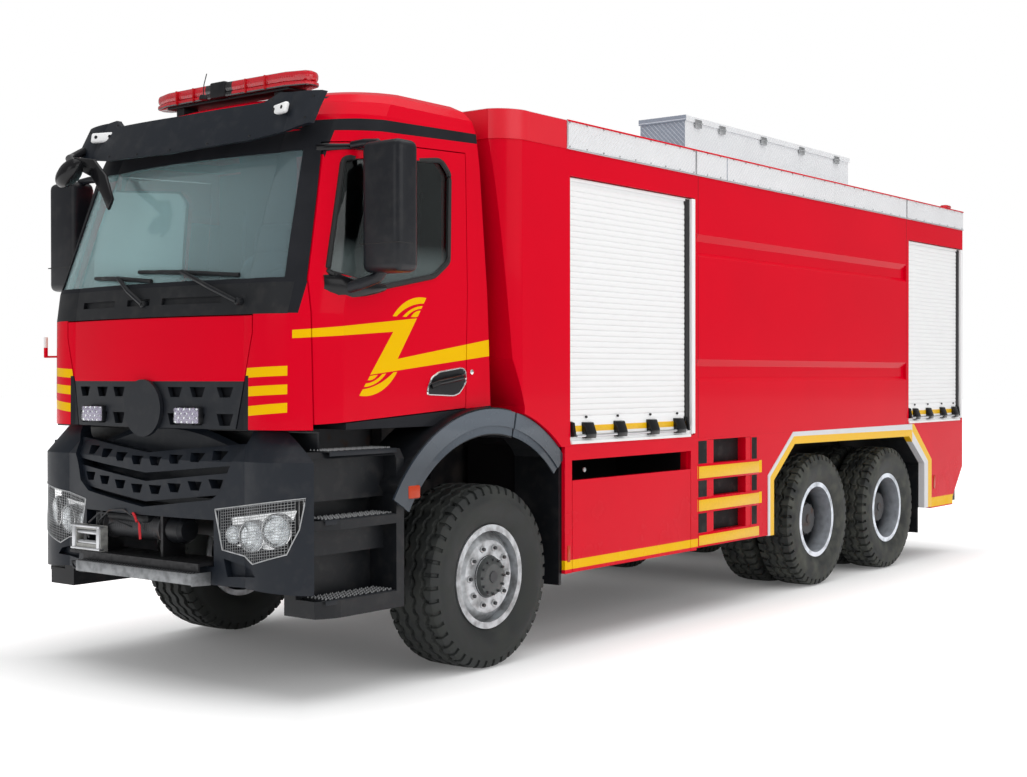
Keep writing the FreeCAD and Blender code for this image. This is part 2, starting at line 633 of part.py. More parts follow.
BUMPER = [("-bumper_half", "1070"), ("-bumper_half", "850"), ("-1120", "560"), ("-760", "585"),
          ("760", "585"), ("1120", "560"), ("bumper_half", "850"), ("bumper_half", "1070"),
          ("bumper_half", "bumper_top"), ("-bumper_half", "bumper_top")]
LAMP = [("554", "982"), ("1095", "1058"), ("1085", "985"), ("1072", "898"), ("1020", "772"),
        ("821", "713"), ("752", "749"), ("603", "773")]
mouth_edge = [("728", "bumper_top+60"), ("728", "1356"), ("640", "1180"), ("612", "1085"), ("524", "1030"),
              ("0", "968")]
MOUTH = mouth_edge + [("-" + across, height) for across, height in reversed(mouth_edge[:-1])]
FOG = [("612", "728"), ("810", "684"), ("840", "648"), ("637", "634")]
bumper_zone = slab("front", BUMPER, "axle_one+bumper_back", "axle_one+1700")
lamp_hole = slab("front", LAMP, "axle_one+bumper_back-10", "axle_one+1700")
mouth = slab("front", MOUTH, "axle_one+1200", "axle_one+1700")
fog_recess = cut(slab("front", FOG, "axle_one+1200", "axle_one+1700"), nose_form("35"))
bar_form = cut(nose_form("22"), nose_form("70"))


def v_bar(ends, half, middle, rise):
    """A bar across the bumper's mouth that dips to the middle, with openings along it."""
    low, high = middle - half, middle + half
    shape = slab("front", [("0", "%g" % low), (ends, "%g" % (low + rise)), (ends, "%g" % (high + rise)),
                           ("0", "%g" % high), ("-" + ends, "%g" % (high + rise)),
                           ("-" + ends, "%g" % (low + rise))],
                 "axle_one+1200", "axle_one+1700")
    slope = rise / float(ends)
    holes = [opening(sign * across, middle + slope * across - 20, middle + slope * across + 28, 104)
             for across in (78, 232, 386, 536) for sign in (1, -1)]
    return cut(common(bar_form, shape), *holes)


winch_bay = block(("axle_one+1250", "axle_one+1700"), ("-545", "545"), ("680", "925"))
bumper_shell = cut(nose_form("0"), nose_form("bumper_wall"))
carrier = block(("axle_one+bumper_back", "axle_one+bumper_front-bumper_wall-5"),
                ("-frame_half-60", "frame_half+60"),
                ("990", "rail_top"))
backing = common(nose_form("bumper_wall-3"), block(("axle_one+bumper_back", "axle_one+bumper_back+18"),
                                                   ("-1120", "1120"), ("1025", "bumper_top")))
bars = [v_bar("735", 55, 1208, 66), v_bar("690", 55, 1052, 72)]
skin = cut(common(bumper_shell, bumper_zone), lamp_hole, mirrored(lamp_hole), winch_bay, mouth,
           fog_recess, mirrored(fog_recess))
node("front_bumper", fuse(skin, carrier, backing, *bars))
lamp_form = cut(nose_form("58"), nose_form("bumper_wall-5"))
lamp = common(lamp_form, lamp_hole, bumper_zone)
node("headlamps", pair(lamp))
tray = fuse(block(("axle_one+bumper_back", "axle_one+front_overhang"), ("-535", "534"), ("688", "704")),
            block(("axle_one+1482", "axle_one+front_overhang"), ("-570", "-500"), ("688", "704")),
            block(("axle_one+front_overhang-12", "axle_one+front_overhang"), ("-447", "534"),
                  ("592", "704")))
cheeks = [block(("axle_one+1330", "axle_one+1480"), ("%s" % y, "%s+20" % y), ("701", "925-seat_gap"))
          for y in ("-400", "130")]
drum = rod("y", ("axle_one+1405", "850"), 58, "-385", "135")
fairlead = cut(block(("axle_one+1500", "axle_one+front_overhang-14"), ("-565", "-305"), ("702", "846")),
               block(("axle_one+1490", "axle_one+1600"), ("-525", "-345"), ("742", "822")))
node("winch", fuse(tray, drum, fairlead, *cheeks))

# ---------------------------------------------------------------- steps and mudguards


def ring_point(radius, across, gap="0"):
    """The height of a point on the front arch at a distance ahead of the axle."""
    return "tyre_radius+sqrt((%s)^2-(%s)^2)" % (radius + "+" + gap, across)


fender = slab("side", [
    ("axle_one-195", ring_point("fender_inner", "195"), ("axle_one+300", ring_point("fender_inner", "300"))),
    ("axle_one+660", ring_point("fender_inner", "660")), ("axle_one+730", "1010"),
    ("axle_one+785", ring_point("fender_outer", "785"), ("axle_one+400", ring_point("fender_outer", "400"))),
    ("axle_one-195", ring_point("fender_outer", "195"))], "900", "fender_face")
step_block = common(block(("axle_one+step_back", "axle_one+bumper_back-seat_gap"), ("900", "bumper_half"),
                          ("step_bottom", "step_top")), nose_form("0"))
treads = [block(("axle_one+step_back+60", "axle_one+bumper_back+10"), (inner, "1300"), (low, high))
          for inner, low, high in (("985", "530", "756"), ("1085", "750", "892"), ("985", "940", "1034"),
                                   ("1085", "1028", "1256"))]
guard_inner = "fender_outer-30"
rear_guard = slab("side", [
    ("axle_one-284", ring_point("fender_outer-seat_gap", "284"),
     ("axle_one-480", ring_point("fender_outer-seat_gap", "480"))),
    ("axle_one-652", ring_point("fender_outer-seat_gap", "652")), ("axle_one-body_setback+seat_gap", "1200"),
    ("axle_one-body_setback+seat_gap", "402"), ("axle_one-body_setback+24", "402"),
    ("axle_one-body_setback+24", "1180"), ("axle_one-630", ring_point(guard_inner, "630"),
                                           ("axle_one-480", ring_point(guard_inner, "480"))),
    ("axle_one-284", ring_point(guard_inner, "284"))], "880", "fender_face")
bay_outer = [("axle_one-rung_rear-seat_gap", "480"), ("axle_one-rung_rear-seat_gap", "932"),
             ("axle_one-rung_rear-405", "body_floor-seat_gap"),
             ("axle_one-bay_rear+404", "body_floor-seat_gap"),
             ("axle_one-bay_rear+seat_gap", "912"), ("axle_one-bay_rear+seat_gap", "479")]
bay_inner = [("axle_one-rung_rear-91", "470"), ("axle_one-rung_rear-91", "891"),
             ("axle_one-rung_rear-427", "1152"), ("axle_one-bay_rear+510", "1138"),
             ("axle_one-bay_rear+166", "885"), ("axle_one-bay_rear+166", "470")]
liner = cut(slab("side", bay_outer, "520", "body_half-trim_depth-seat_gap"),
            slab("side", bay_inner, "400", "1400"))
mud_flap = block(("axle_one-bay_rear+150", "axle_one-bay_rear+172"), ("560", "1190"), ("250", "860"))
guards = (fuse(fender, cut(step_block, *treads)), rear_guard, fuse(liner, mud_flap))
node("mudguards", group(*[shape for half in guards for shape in (half, mirrored(half))]))

# ---------------------------------------------------------------- cab interior
dash = common(cab_form("cab_wall+seat_gap"), block(("axle_one+1080", "axle_one+1600"), ("-880", "880"),
                                                   ("1960", "cowl_top-10")))
column = rod("x", ("450", "2060"), 30, "axle_one+880", "axle_one+1100")
wheel_ring = doc.addObject("Part::Torus", "ring")
wheel_ring.Radius1 = 225
wheel_ring.Radius2 = 15
wheel_ring.Placement = FreeCAD.Placement(FreeCAD.Vector(), FreeCAD.Rotation(FreeCAD.Vector(0, 1, 0), 90))
for letter, formula in zip("xyz", ("axle_one+895", "450", "2060")):
    wheel_ring.setExpression("Placement.Base." + letter, link(formula))
spokes = [block(("axle_one+885", "axle_one+905"), (left, right), (low, "2070"))
          for left, right, low in (("440", "460", "1845"), ("225", "675", "2050"))]
node("dashboard", fuse(dash, column, wheel_ring, *spokes))


def seat(low, high):
    """A seat: base on the floor, cushion and back in one upholstered form."""
    return slab("side", [("axle_one+200", "cab_floor"), ("axle_one+640", "cab_floor"),
                         ("axle_one+660", "cab_floor+330"), ("axle_one+700", "cab_floor+440"),
                         ("axle_one+280", "cab_floor+430"), ("axle_one+130", "cab_floor+1080"),
                         ("axle_one+40", "cab_floor+1060"), ("axle_one+170", "cab_floor+330")], low, high)


node("seats", group(seat("200", "720"), seat("-720", "-200")))


# ---------------------------------------------------------------- body
def body_plan(inset):
    """The body from above, with its front corners rounded in towards the cab."""
    front = "axle_one-106-" + inset
    side = "(body_half-%s)" % inset
    return [(front, side + "-130", (front + "-68", side + "-39")), (front + "-230", side),
            ("body_back+" + inset, side),
            ("body_back+" + inset, "-" + side), (front + "-230", "-" + side, (front + "-68", "39-" + side)),
            (front, "130-" + side)]


BODY_SIDE = [("axle_one-106", "band_bottom"), ("axle_one-198", "1777"), ("axle_one-284", "1500"),
             ("axle_one-284", ring_point("fender_outer", "284"),
              ("axle_one-480", ring_point("fender_outer", "480"))),
             ("axle_one-652", ring_point("fender_outer", "652")), ("axle_one-652", "body_floor"),
             ("body_back", "body_floor"), ("body_back", "band_bottom")]
body_block = common(slab("side", BODY_SIDE, "-body_half", "body_half"),
                    slab("plan", body_plan("0"), "body_floor-100", "band_bottom+100"))
OPENINGS = (("axle_one-2202", "axle_one-740", "1270", "2900"),
            ("axle_one-7112", "axle_one-5861", "1264", "2880"))
recesses = [block((back, front), ("body_half-shutter_recess", "body_half+50"), (low, high))
            for back, front, low, high in OPENINGS]
rear_recess = block(("body_back-50", "body_back+shutter_recess"), ("-860", "860"), ("1300", "2860"))
grooves = [slab("front", [("body_half+1", "%d+126" % low), ("body_half-25", "%d+76" % low),
                          ("body_half-25", low), ("body_half+1", "%d-31" % low)],
                "axle_one-5805", "axle_one-2230") for low in (2533, 1667)]
side_cuts = recesses + grooves
node("body_shell", cut(body_block, rear_recess, *(side_cuts + [mirrored(shape) for shape in side_cuts])))

deck = slab("plan", body_plan("-4"), "band_bottom", "roof_top")
pan = slab("plan", body_plan("60"), "band_bottom+50", "roof_top+50")
box_x = ("axle_one-roofbox_front-roofbox_length", "axle_one-roofbox_front")
box_y = ("roofbox_outer-roofbox_width", "roofbox_outer")
box_outer = block(box_x, box_y, ("band_bottom+40", "roofbox_top"))
box_inner = block((box_x[0] + "+roofbox_wall", box_x[1] + "-roofbox_wall"),
                  (box_y[0] + "+roofbox_wall", box_y[1] + "-roofbox_wall"),
                  ("band_bottom+70", "roofbox_top+20"))
node("roof_deck", cut(fuse(cut(deck, pan), box_outer), box_inner))
node("roof_box_lid", block((box_x[0] + "-lid_overhang", box_x[1] + "+lid_overhang"),
                           (box_y[0] + "-lid_overhang", box_y[1] + "+lid_overhang"),
                           ("roofbox_top+seat_gap", "roofbox_top+seat_gap+lid_thick")))


def shutter(back, front, low, high):
    """A lowered roller shutter: the curtain, with its lift bar along the bottom."""
    curtain = block((back + "+8", front + "-8"),
                    ("body_half-shutter_recess", "body_half-shutter_recess+shutter_thick"),
                    (low + "+4", high + "-4"))
    bar = block((back + "+8", front + "-8"), ("body_half-shutter_recess+shutter_thick-1", "body_half-8"),
                (low + "+4", low + "+62"))
    return fuse(curtain, bar)


shutters = [shutter(*opening) for opening in OPENINGS]
rear_curtain = fuse(block(("body_back+shutter_recess-shutter_thick", "body_back+shutter_recess"),
                          ("-850", "850"),
                          ("1304", "2856")),
                    block(("body_back+8", "body_back+shutter_recess-shutter_thick+1"), ("-850", "850"),
                          ("1304", "1362")))
curtains = [half for shape in shutters for half in (shape, mirrored(shape))]
node("locker_shutters", group(rear_curtain, *curtains))

# lower lockers with fold-down flaps
locker_box = block(("axle_one-locker_rear", "body_front"), ("body_half-box_depth", "body_half"),
                   ("skirt_bottom", "body_floor-seat_gap"))
locker_hollow = block(("axle_one-2150", "axle_one-763"), ("body_half-620", "body_half+50"),
                      ("skirt_bottom+34", "1156"))
rebate = block(("axle_one-2156", "axle_one-757"), ("body_half-panel_thick-seat_gap", "body_half+50"),
               ("skirt_bottom-10", "1160"))
node("lower_lockers", pair(cut(locker_box, locker_hollow, rebate)))
flap = block(("axle_one-2151", "axle_one-762"), ("body_half-panel_thick", "body_half"),
             ("skirt_bottom+2", "skirt_bottom+flap_height"))
node("left_locker_flap", flap)
node("right_locker_flap", mirrored(flap))

# panels beside the wheel bay, rungs, arch trims
rung_panel = slab("side", [("axle_one-locker_rear-seat_gap", "484"),
                           ("axle_one-locker_rear-seat_gap", "body_floor-seat_gap"),
                           ("axle_one-rung_rear-405+seat_gap", "body_floor-seat_gap"),
                           ("axle_one-rung_rear", "932"),
                           ("axle_one-rung_rear", "484")], "body_half-box_depth", "body_half")
niche = block(("axle_one-2996", "axle_one-2380"), ("body_half-70", "body_half+50"), ("400", "1230"))
corner_panel = slab("side", [("axle_one-bay_rear", "464"), ("axle_one-bay_rear", "912"),
                             ("axle_one-bay_rear+404-seat_gap", "body_floor-seat_gap"),
                             ("body_back", "body_floor-seat_gap"),
                             ("body_back", "813"), ("axle_one-6889", "537"), ("axle_one-6889", "464")],
                    "body_half-box_depth", "body_half")
skirt_left = [cut(rung_panel, niche), corner_panel]
node("side_skirts", group(*[half for shape in skirt_left for half in (shape, mirrored(shape))]))
posts = [block((back, front), ("body_half-70", "body_half-2"), ("486", "1228"))
         for back, front in (("axle_one-2464", "axle_one-2382"), ("axle_one-2994", "axle_one-2926"))]
rungs = [block(("axle_one-2930", "axle_one-2460"), ("body_half-70", "body_half-8"), (low, high))
         for low, high in (("499", "565"), ("734", "818"), ("961", "1051"))]
node("rung_ladders", pair(fuse(*(posts + rungs))))
trim = cut(slab("side", bay_outer, "body_half-trim_depth", "body_half+trim_proud"),
           slab("side", bay_inner, "1100", "1400"))
node("arch_trims", pair(trim))

# rear: ladder, underrun with lamps and towing jaw
stiles = [block(("body_back-60", "body_back-28"), ("%d" % y, "%d" % (y + 32)), ("1280", "roof_top+120"))
          for y in (-1180, -920)]
treads = [block(("body_back-58", "body_back-30"), ("-1170", "-900"), ("%d" % z, "%d" % (z + 26)))
          for z in range(1350, 3200, 290)]
stays = [block(("body_back-30", "body_back"), ("%d" % y, "%d" % (y + 32)), ("%d" % z, "%d" % (z + 40)))
         for y in (-1180, -920) for z in (1290, 2960)]
node("rear_ladder", fuse(*(stiles + treads + stays)))
underrun_beam = block(("-overall_length/2", "-overall_length/2+100"), ("-1150", "1150"), ("480", "600"))
hangers = [block(("-overall_length/2+100", "body_back+220"), ("%s" % y, "%s+60" % y), ("480", "rail_bottom"))
           for y in ("-410", "350")]
jaw = cut(fuse(block(("-overall_length/2+10", "body_back+65"), ("-90", "90"), ("810", "980")),
               block(("body_back+40", "body_back+60"), ("-frame_half", "frame_half"),
                     ("rail_bottom", "rail_top"))),
          block(("-overall_length/2-10", "-overall_length/2+80"), ("-100", "100"), ("870", "920")),
          rod("z", ("-overall_length/2+42", "0"), 20, "700", "1100"))
lamps = [block(("-overall_length/2+20", "-overall_length/2+90"), ("%d" % y, "%d" % (y + 360)),
               ("600", "740"))
         for y in (-1140, 780)]
node("rear_underrun", fuse(underrun_beam, jaw, *(hangers + lamps)))

# ---------------------------------------------------------------- checks and export
doc.recompute()
for thing in doc.Objects:
    if set(thing.State) & {"Invalid", "Error"}:
        raise RuntimeError("%s (%s) failed: %s" % (thing.Name, thing.Label, thing.State))
for piece in NODES:
    if piece.Shape.isNull() or not piece.Shape.isValid():
        raise RuntimeError("%s has no valid shape" % piece.Label)
os.makedirs("parts", exist_ok=True)
for piece in NODES:
    piece.Shape.exportStep("parts/%s.step" % piece.Label)
print("%d nodes written" % len(NODES))
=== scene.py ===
# %% [markdown]
# # A water tanker fire truck, finished in Blender
#
# The truck's metal shapes come from a CAD frame: cab, doors, body, wheels and chassis, each a
# named node that already moves with its joint. This lesson adds what CAD leaves out. First come
# the camera, the floor and the lamps. Then come the finishes, which are small node graphs. Then
# come the fine pieces, such as tyre treads, lamps, steps, wipers and shutter slats.
#
# Everything is in metres. X points to the front, Y to the driver's left and Z up. The truck
# stands on Z = 0, so a size read off the frame can be used directly.

# %% Load the frame
import math

import bmesh
import bpy
from mathutils import Matrix, Vector
from mathutils.bvhtree import BVHTree


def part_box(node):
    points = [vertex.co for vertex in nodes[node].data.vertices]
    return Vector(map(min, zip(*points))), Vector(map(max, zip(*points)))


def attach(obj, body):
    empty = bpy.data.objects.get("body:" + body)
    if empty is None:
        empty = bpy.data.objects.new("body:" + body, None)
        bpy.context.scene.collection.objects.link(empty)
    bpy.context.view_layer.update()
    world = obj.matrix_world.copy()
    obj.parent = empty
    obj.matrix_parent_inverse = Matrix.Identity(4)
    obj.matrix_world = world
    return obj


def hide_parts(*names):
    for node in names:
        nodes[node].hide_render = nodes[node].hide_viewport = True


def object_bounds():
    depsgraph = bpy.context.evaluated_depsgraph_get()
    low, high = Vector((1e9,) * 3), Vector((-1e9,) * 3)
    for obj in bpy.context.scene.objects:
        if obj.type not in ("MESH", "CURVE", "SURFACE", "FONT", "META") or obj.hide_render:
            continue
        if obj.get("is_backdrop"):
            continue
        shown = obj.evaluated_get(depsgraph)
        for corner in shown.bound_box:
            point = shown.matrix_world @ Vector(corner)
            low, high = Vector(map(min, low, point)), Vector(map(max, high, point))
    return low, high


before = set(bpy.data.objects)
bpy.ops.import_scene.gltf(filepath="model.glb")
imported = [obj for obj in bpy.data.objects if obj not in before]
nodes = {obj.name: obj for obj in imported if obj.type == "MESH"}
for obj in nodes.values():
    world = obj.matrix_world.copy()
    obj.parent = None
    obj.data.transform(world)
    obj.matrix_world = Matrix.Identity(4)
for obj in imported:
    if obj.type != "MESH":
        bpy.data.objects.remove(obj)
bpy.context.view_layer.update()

# %% [markdown]
# ## Driving sizes
#
# Most places are read off the frame. A few sizes drive both finishes and pieces, so each has a
# name: where the axles stand, how high they are, and the outer faces of the wheel discs.

# %% Driving sizes
FRONT_AXLE, MIDDLE_AXLE, REAR_AXLE = 2.820, -1.380, -2.730
AXLE_HEIGHT = 0.527
FRONT_DISC_FACE = 1.1775
TWIN_DISC_FACE = 0.897
TWIN_WIDTH = 0.312

# %% [markdown]
# ## Camera
#
# The view is that of a person who stands off the truck's front left corner and looks slightly
# down its side. A camera could be aimed with a Track To constraint, but a written direction is
# easier to repeat. The camera looks along its own -Z axis, so `to_track_quat` turns that axis
# onto the viewing direction.

# %% Camera
eye = Vector((9.361, 6.509, 1.677))
yaw, pitch, roll = 0.6604, -0.0091, -0.0011
looking = Vector((-math.cos(yaw) * math.cos(pitch), -math.sin(yaw) * math.cos(pitch), math.sin(pitch)))
camera_data = bpy.data.cameras.new("front_left_view")
camera_data.sensor_width = 36.0
camera_data.lens = 51.47
camera_data.shift_x = -0.0054
camera_data.shift_y = 0.0008
camera_data.clip_end = 400.0
camera_data.dof.use_dof = False
camera = bpy.data.objects.new("front_left_view", camera_data)
camera.location = eye
camera.rotation_mode = "QUATERNION"
camera.rotation_quaternion = looking.to_track_quat("-Z", "Y") @ Matrix.Rotation(roll, 3, "Z").to_quaternion()
bpy.context.scene.collection.objects.link(camera)
bpy.context.scene.camera = camera
bpy.context.scene.view_settings.view_transform = "Standard"
print("camera at", [round(value, 2) for value in eye])

# %% [markdown]
# ## Finishes
#
# Each finish is a graph round one Principled shader. Textures read Object coordinates, so a
# pattern stays fixed to its piece and keeps its real size in metres. A few small helpers keep
# the graphs short: one adds a node, one does arithmetic, and the others lay patterns over each
# other. Painting by hand or unwrapping would also work, but a graph needs no unwrapping and is
# sharp at any distance.

# %% Helpers for node graphs
class Finish:
    """One material under construction, with short calls for its node graph."""

    def __init__(self, name, colour, roughness, metallic=0.0):
        self.material = bpy.data.materials.new(name)
        self.material.use_nodes = True
        self.tree = self.material.node_tree
        self.shader = self.tree.nodes["Principled BSDF"]
        self.shader.inputs["Roughness"].default_value = roughness
        self.shader.inputs["Metallic"].default_value = metallic
        self.shader.inputs["Base Color"].default_value = (*colour, 1.0)
        self.base = colour
        self.place = self.add("ShaderNodeTexCoord").outputs["Object"]
        self.bump_from = None
        axes = self.add("ShaderNodeSeparateXYZ", Vector=self.place)
        self.x, self.y, self.z = (axes.outputs[axis] for axis in "XYZ")

    def add(self, kind, **inputs):
        node = self.tree.nodes.new(kind)
        for name, value in inputs.items():
            self.feed(node.inputs[name], value)
        return node

    def feed(self, socket, value):
        if isinstance(value, bpy.types.NodeSocket):
            self.tree.links.new(value, socket)
        else:
            socket.default_value = value

    def maths(self, operation, *values):
        node = self.tree.nodes.new("ShaderNodeMath")
        node.operation = operation
        for socket, value in zip(node.inputs, values):
            self.feed(socket, value)
        return node.outputs[0]

    def plus(self, first, second):
        return self.maths("ADD", first, second)

    def minus(self, first, second):
        return self.maths("SUBTRACT", first, second)

    def times(self, first, second):
        return self.maths("MULTIPLY", first, second)

    def over(self, first, second):
        return self.maths("DIVIDE", first, second)

    def size(self, value):
        return self.maths("ABSOLUTE", value)

    def above(self, value, limit):
        """1 where value is above the limit, else 0."""
        return self.maths("GREATER_THAN", value, limit)

    def below(self, value, limit):
        """1 where value is below the limit, else 0."""
        return self.maths("LESS_THAN", value, limit)

    def between(self, value, low, high):
        """1 where low < value < high, else 0."""
        return self.times(self.above(value, low), self.below(value, high))

    def all_of(self, first, *rest):
        for mask in rest:
            first = self.times(first, mask)
        return first

    def any_of(self, first, *rest):
        for mask in rest:
            first = self.maths("MAXIMUM", first, mask)
        return first

    def noise(self, scale, detail=3.0, stretch=None):
        place = self.place
        if stretch:
            place = self.add("ShaderNodeMapping", Vector=place, Scale=stretch).outputs[0]
        return self.add("ShaderNodeTexNoise", Vector=place, Scale=scale, Detail=detail).outputs["Fac"]

    def ramp(self, factor, low, high):
        """Stretches the part of factor between low and high to 0..1."""
        node = self.tree.nodes.new("ShaderNodeMapRange")
        for name, value in (("Value", factor), ("From Min", low), ("From Max", high)):
            self.feed(node.inputs[name], value)
        return node.outputs[0]

    def mix(self, factor, first, second):
        node = self.tree.nodes.new("ShaderNodeMix")
        node.data_type = "RGBA"
        self.feed(node.inputs["Factor"], factor)
        for socket, value in ((node.inputs[6], first), (node.inputs[7], second)):
            self.feed(socket, value if isinstance(value, bpy.types.NodeSocket) else (*value, 1.0))
        return node.outputs[2]

    def colour(self, value):
        self.tree.links.new(value, self.shader.inputs["Base Color"])
        return self

    def rough(self, factor, low, high):
        """Roughness that drifts from low to high with factor."""
        node = self.tree.nodes.new("ShaderNodeMapRange")
        for name, value in (("Value", factor), ("To Min", low), ("To Max", high)):
            self.feed(node.inputs[name], value)
        self.tree.links.new(node.outputs[0], self.shader.inputs["Roughness"])
        return self

    def bump(self, height, distance, strength=1.0):
        node = self.add("ShaderNodeBump", Height=height, Distance=distance, Strength=strength)
        if self.bump_from:
            self.tree.links.new(self.bump_from, node.inputs["Normal"])
        self.bump_from = node.outputs[0]
        self.tree.links.new(self.bump_from, self.shader.inputs["Normal"])
        return self

    def set(self, **values):
        for name, value in values.items():
            self.shader.inputs[name.replace("_", " ")].default_value = value
        return self

# %% [markdown]
# ### Fire red paint with yellow bands
#
# The bands are thin reflective film on the paint. They could be separate sheets, but a mask in
# the paint follows every curve and shutline of the panels by itself. A mask is arithmetic: a
# point is inside a straight-edged band when it lies on the right side of each edge, so each
# edge is one comparison on the point's place.

# %% Red paint and yellow film
RED = (0.72, 0.0, 0.016)
YELLOW = (0.92, 0.53, 0.0)


def fire_red(name):
    """Gloss red with a little road dust low down and a soft orange-peel surface."""
    paint = Finish(name, RED, 0.2)
    drift = paint.noise(1.3, 4.0)
    dust = paint.times(paint.ramp(paint.z, 1.1, 0.45), paint.ramp(paint.noise(5.0, 6.0), 0.42, 0.75))
    paint.skin = paint.mix(paint.times(dust, 0.04), paint.mix(drift, RED, (0.62, 0.0, 0.014)),
                           (0.35, 0.24, 0.18))
    paint.colour(paint.skin)
    paint.rough(paint.plus(dust, paint.times(drift, 0.2)), 0.16, 0.5)
    paint.bump(paint.noise(260.0, 2.0), 0.0004, 0.08)
    return paint.set(Coat_Weight=0.05, Coat_Roughness=0.04, Specular_IOR_Level=0.06)


def film(paint, mask, colour=YELLOW):
    """Lays coloured film over the paint where mask is 1."""
    spots = paint.noise(900.0, 1.0)
    shade = paint.mix(spots, colour, tuple(value * 0.86 for value in colour))
    paint.skin = paint.mix(mask, paint.skin, shade)
    paint.colour(paint.skin)
    paint.bump(mask, 0.0006, 0.3)


def right_of(paint, first, second):
    """1 on one side of the line through two (x, z) points, seen from the truck's left."""
    (x0, z0), (x1, z1) = first, second
    across = paint.times(paint.minus(paint.x, x0), z1 - z0)
    along = paint.times(paint.minus(paint.z, z0), x1 - x0)
    return paint.above(paint.minus(across, along), 0.0)


def patch(paint, *corners):
    """1 inside a convex outline whose (x, z) corners run clockwise as (x, z) is usually drawn."""
    return paint.all_of(*[right_of(paint, a, b) for a, b in zip(corners, corners[1:] + corners[:1])])


plain_red = fire_red("fire_red_paint")

# %% [markdown]
# ### The cab's band
#
# A yellow Z runs along each cab side, with small concentric arcs at its two sharp corners, and
# three short bars sit on the corner panel beside the grille. The Z is three straight-edged
# patches. An arc is where the distance from a centre lies between two radii.

# %% Cab paint with the Z band
cab_red = fire_red("cab_red_paint")
outside = cab_red.size(cab_red.y)
on_corner = cab_red.above(cab_red.x, 3.85)
on_side = cab_red.any_of(cab_red.above(outside, 1.112),
                         cab_red.times(on_corner, cab_red.above(outside, 1.005)))
z_band = cab_red.any_of(patch(cab_red, (3.370, 1.992), (4.300, 1.899), (4.300, 1.861), (3.417, 1.925)),
                        patch(cab_red, (3.370, 1.992), (3.510, 1.978), (3.738, 1.684), (3.526, 1.769)),
                        patch(cab_red, (2.700, 1.894), (3.526, 1.769), (3.738, 1.684), (2.700, 1.797)))
film(cab_red, cab_red.times(z_band, on_side))


def disc(paint, centre, radius):
    """1 inside a circle in (x, z)."""
    across = paint.maths("POWER", paint.size(paint.minus(paint.x, centre[0])), 2.0)
    up = paint.maths("POWER", paint.size(paint.minus(paint.z, centre[1])), 2.0)
    return paint.below(paint.plus(across, up), radius * radius)


def crescent(paint, outer, inner):
    """1 inside the outer circle and outside the inner one."""
    inside = disc(paint, *outer)
    return paint.minus(inside, paint.times(inside, disc(paint, *inner)))


def arcs(paint, pairs, edge, low, high):
    """Thin crescents, cut off straight along an edge and between two heights."""
    return paint.all_of(paint.any_of(*[crescent(paint, outer, inner) for outer, inner in pairs]),
                        right_of(paint, *edge), paint.between(paint.z, low, high),
                        paint.between(paint.x, 3.2, 3.9))


upper_arcs = arcs(cab_red, [(((3.330, 1.806), 0.302), ((3.307, 1.704), 0.371)),
                            (((3.308, 1.783), 0.278), ((3.319, 1.831), 0.215)),
                            (((3.341, 1.935), 0.100), ((3.341, 1.905), 0.100))],
                  ((3.365, 1.998), (3.292, 2.107)), 1.998, 2.12)
lower_arcs = arcs(cab_red, [(((3.779, 1.879), 0.307), ((3.843, 2.091), 0.486)),
                            (((3.792, 1.874), 0.254), ((3.784, 1.854), 0.216)),
                            (((3.748, 1.746), 0.091), ((3.748, 1.776), 0.091))],
                  ((3.742, 1.676), (3.821, 1.575)), 1.56, 1.700)
above_bar = cab_red.minus(1.0, right_of(cab_red, (3.738, 1.678), (2.925, 1.765)))
film(cab_red, cab_red.times(cab_red.any_of(upper_arcs, cab_red.times(lower_arcs, above_bar)), on_side))
slide = cab_red.over(cab_red.minus(outside, 0.72), 0.26)
bars = []
for start, rise in ((1.668, 0.012), (1.571, 0.014), (1.469, 0.022)):
    lift = cab_red.minus(cab_red.z, cab_red.times(slide, rise))
    bars.append(cab_red.between(lift, start, start + 0.05))
inner_end = cab_red.minus(outside, cab_red.times(cab_red.minus(cab_red.z, 1.4), 0.2))
film(cab_red, cab_red.all_of(cab_red.any_of(*bars), cab_red.above(inner_end, 0.685),
                             cab_red.below(outside, 0.985), cab_red.above(cab_red.x, 4.0)))

# %% [markdown]
# The same graph paints the windscreen pillars, the rain gutter over the door and the cab below a sloping line
# along its lower edge black. It also paints the inside of the cab, its underside and the wall behind the
# grille near-black, as painted shade.

# %% Pillars, gutter and painted shade
pillar = cab_red.all_of(right_of(cab_red, (4.098, 2.150), (3.872, 2.960)),
                        cab_red.between(cab_red.z, 2.0, 2.985))
gutter = patch(cab_red, (2.600, 3.078), (3.724, 3.045), (4.400, 3.000), (4.400, 2.950), (3.724, 2.978),
               (2.600, 3.014))
gutter = cab_red.times(gutter, cab_red.above(outside, 0.80))
lean = cab_red.times(cab_red.maths("MAXIMUM", cab_red.minus(cab_red.z, 2.0), 0.0), 0.06)
below_roof = cab_red.below(cab_red.z, 3.0)
between_doors = cab_red.all_of(cab_red.below(cab_red.plus(outside, lean), 1.112),
                               cab_red.between(cab_red.x, 2.765, 3.66), below_roof)
behind_screen = cab_red.all_of(cab_red.below(outside, 0.98), cab_red.between(cab_red.x, 3.6, 3.9), below_roof)
ceiling = cab_red.all_of(cab_red.below(outside, 0.84), cab_red.between(cab_red.x, 2.80, 3.75),
                         cab_red.below(cab_red.z, 3.186))
within = cab_red.any_of(between_doors, behind_screen, ceiling)
inside_shade = cab_red.times(within, cab_red.above(cab_red.z, 1.53))
sill = cab_red.all_of(cab_red.below(cab_red.plus(cab_red.z, cab_red.times(cab_red.x, 0.0606)), 1.671),
                      cab_red.below(cab_red.x, 4.0))
underneath = cab_red.all_of(cab_red.below(cab_red.z, 1.56), cab_red.below(outside, 1.10),
                            cab_red.below(cab_red.x, 4.0))
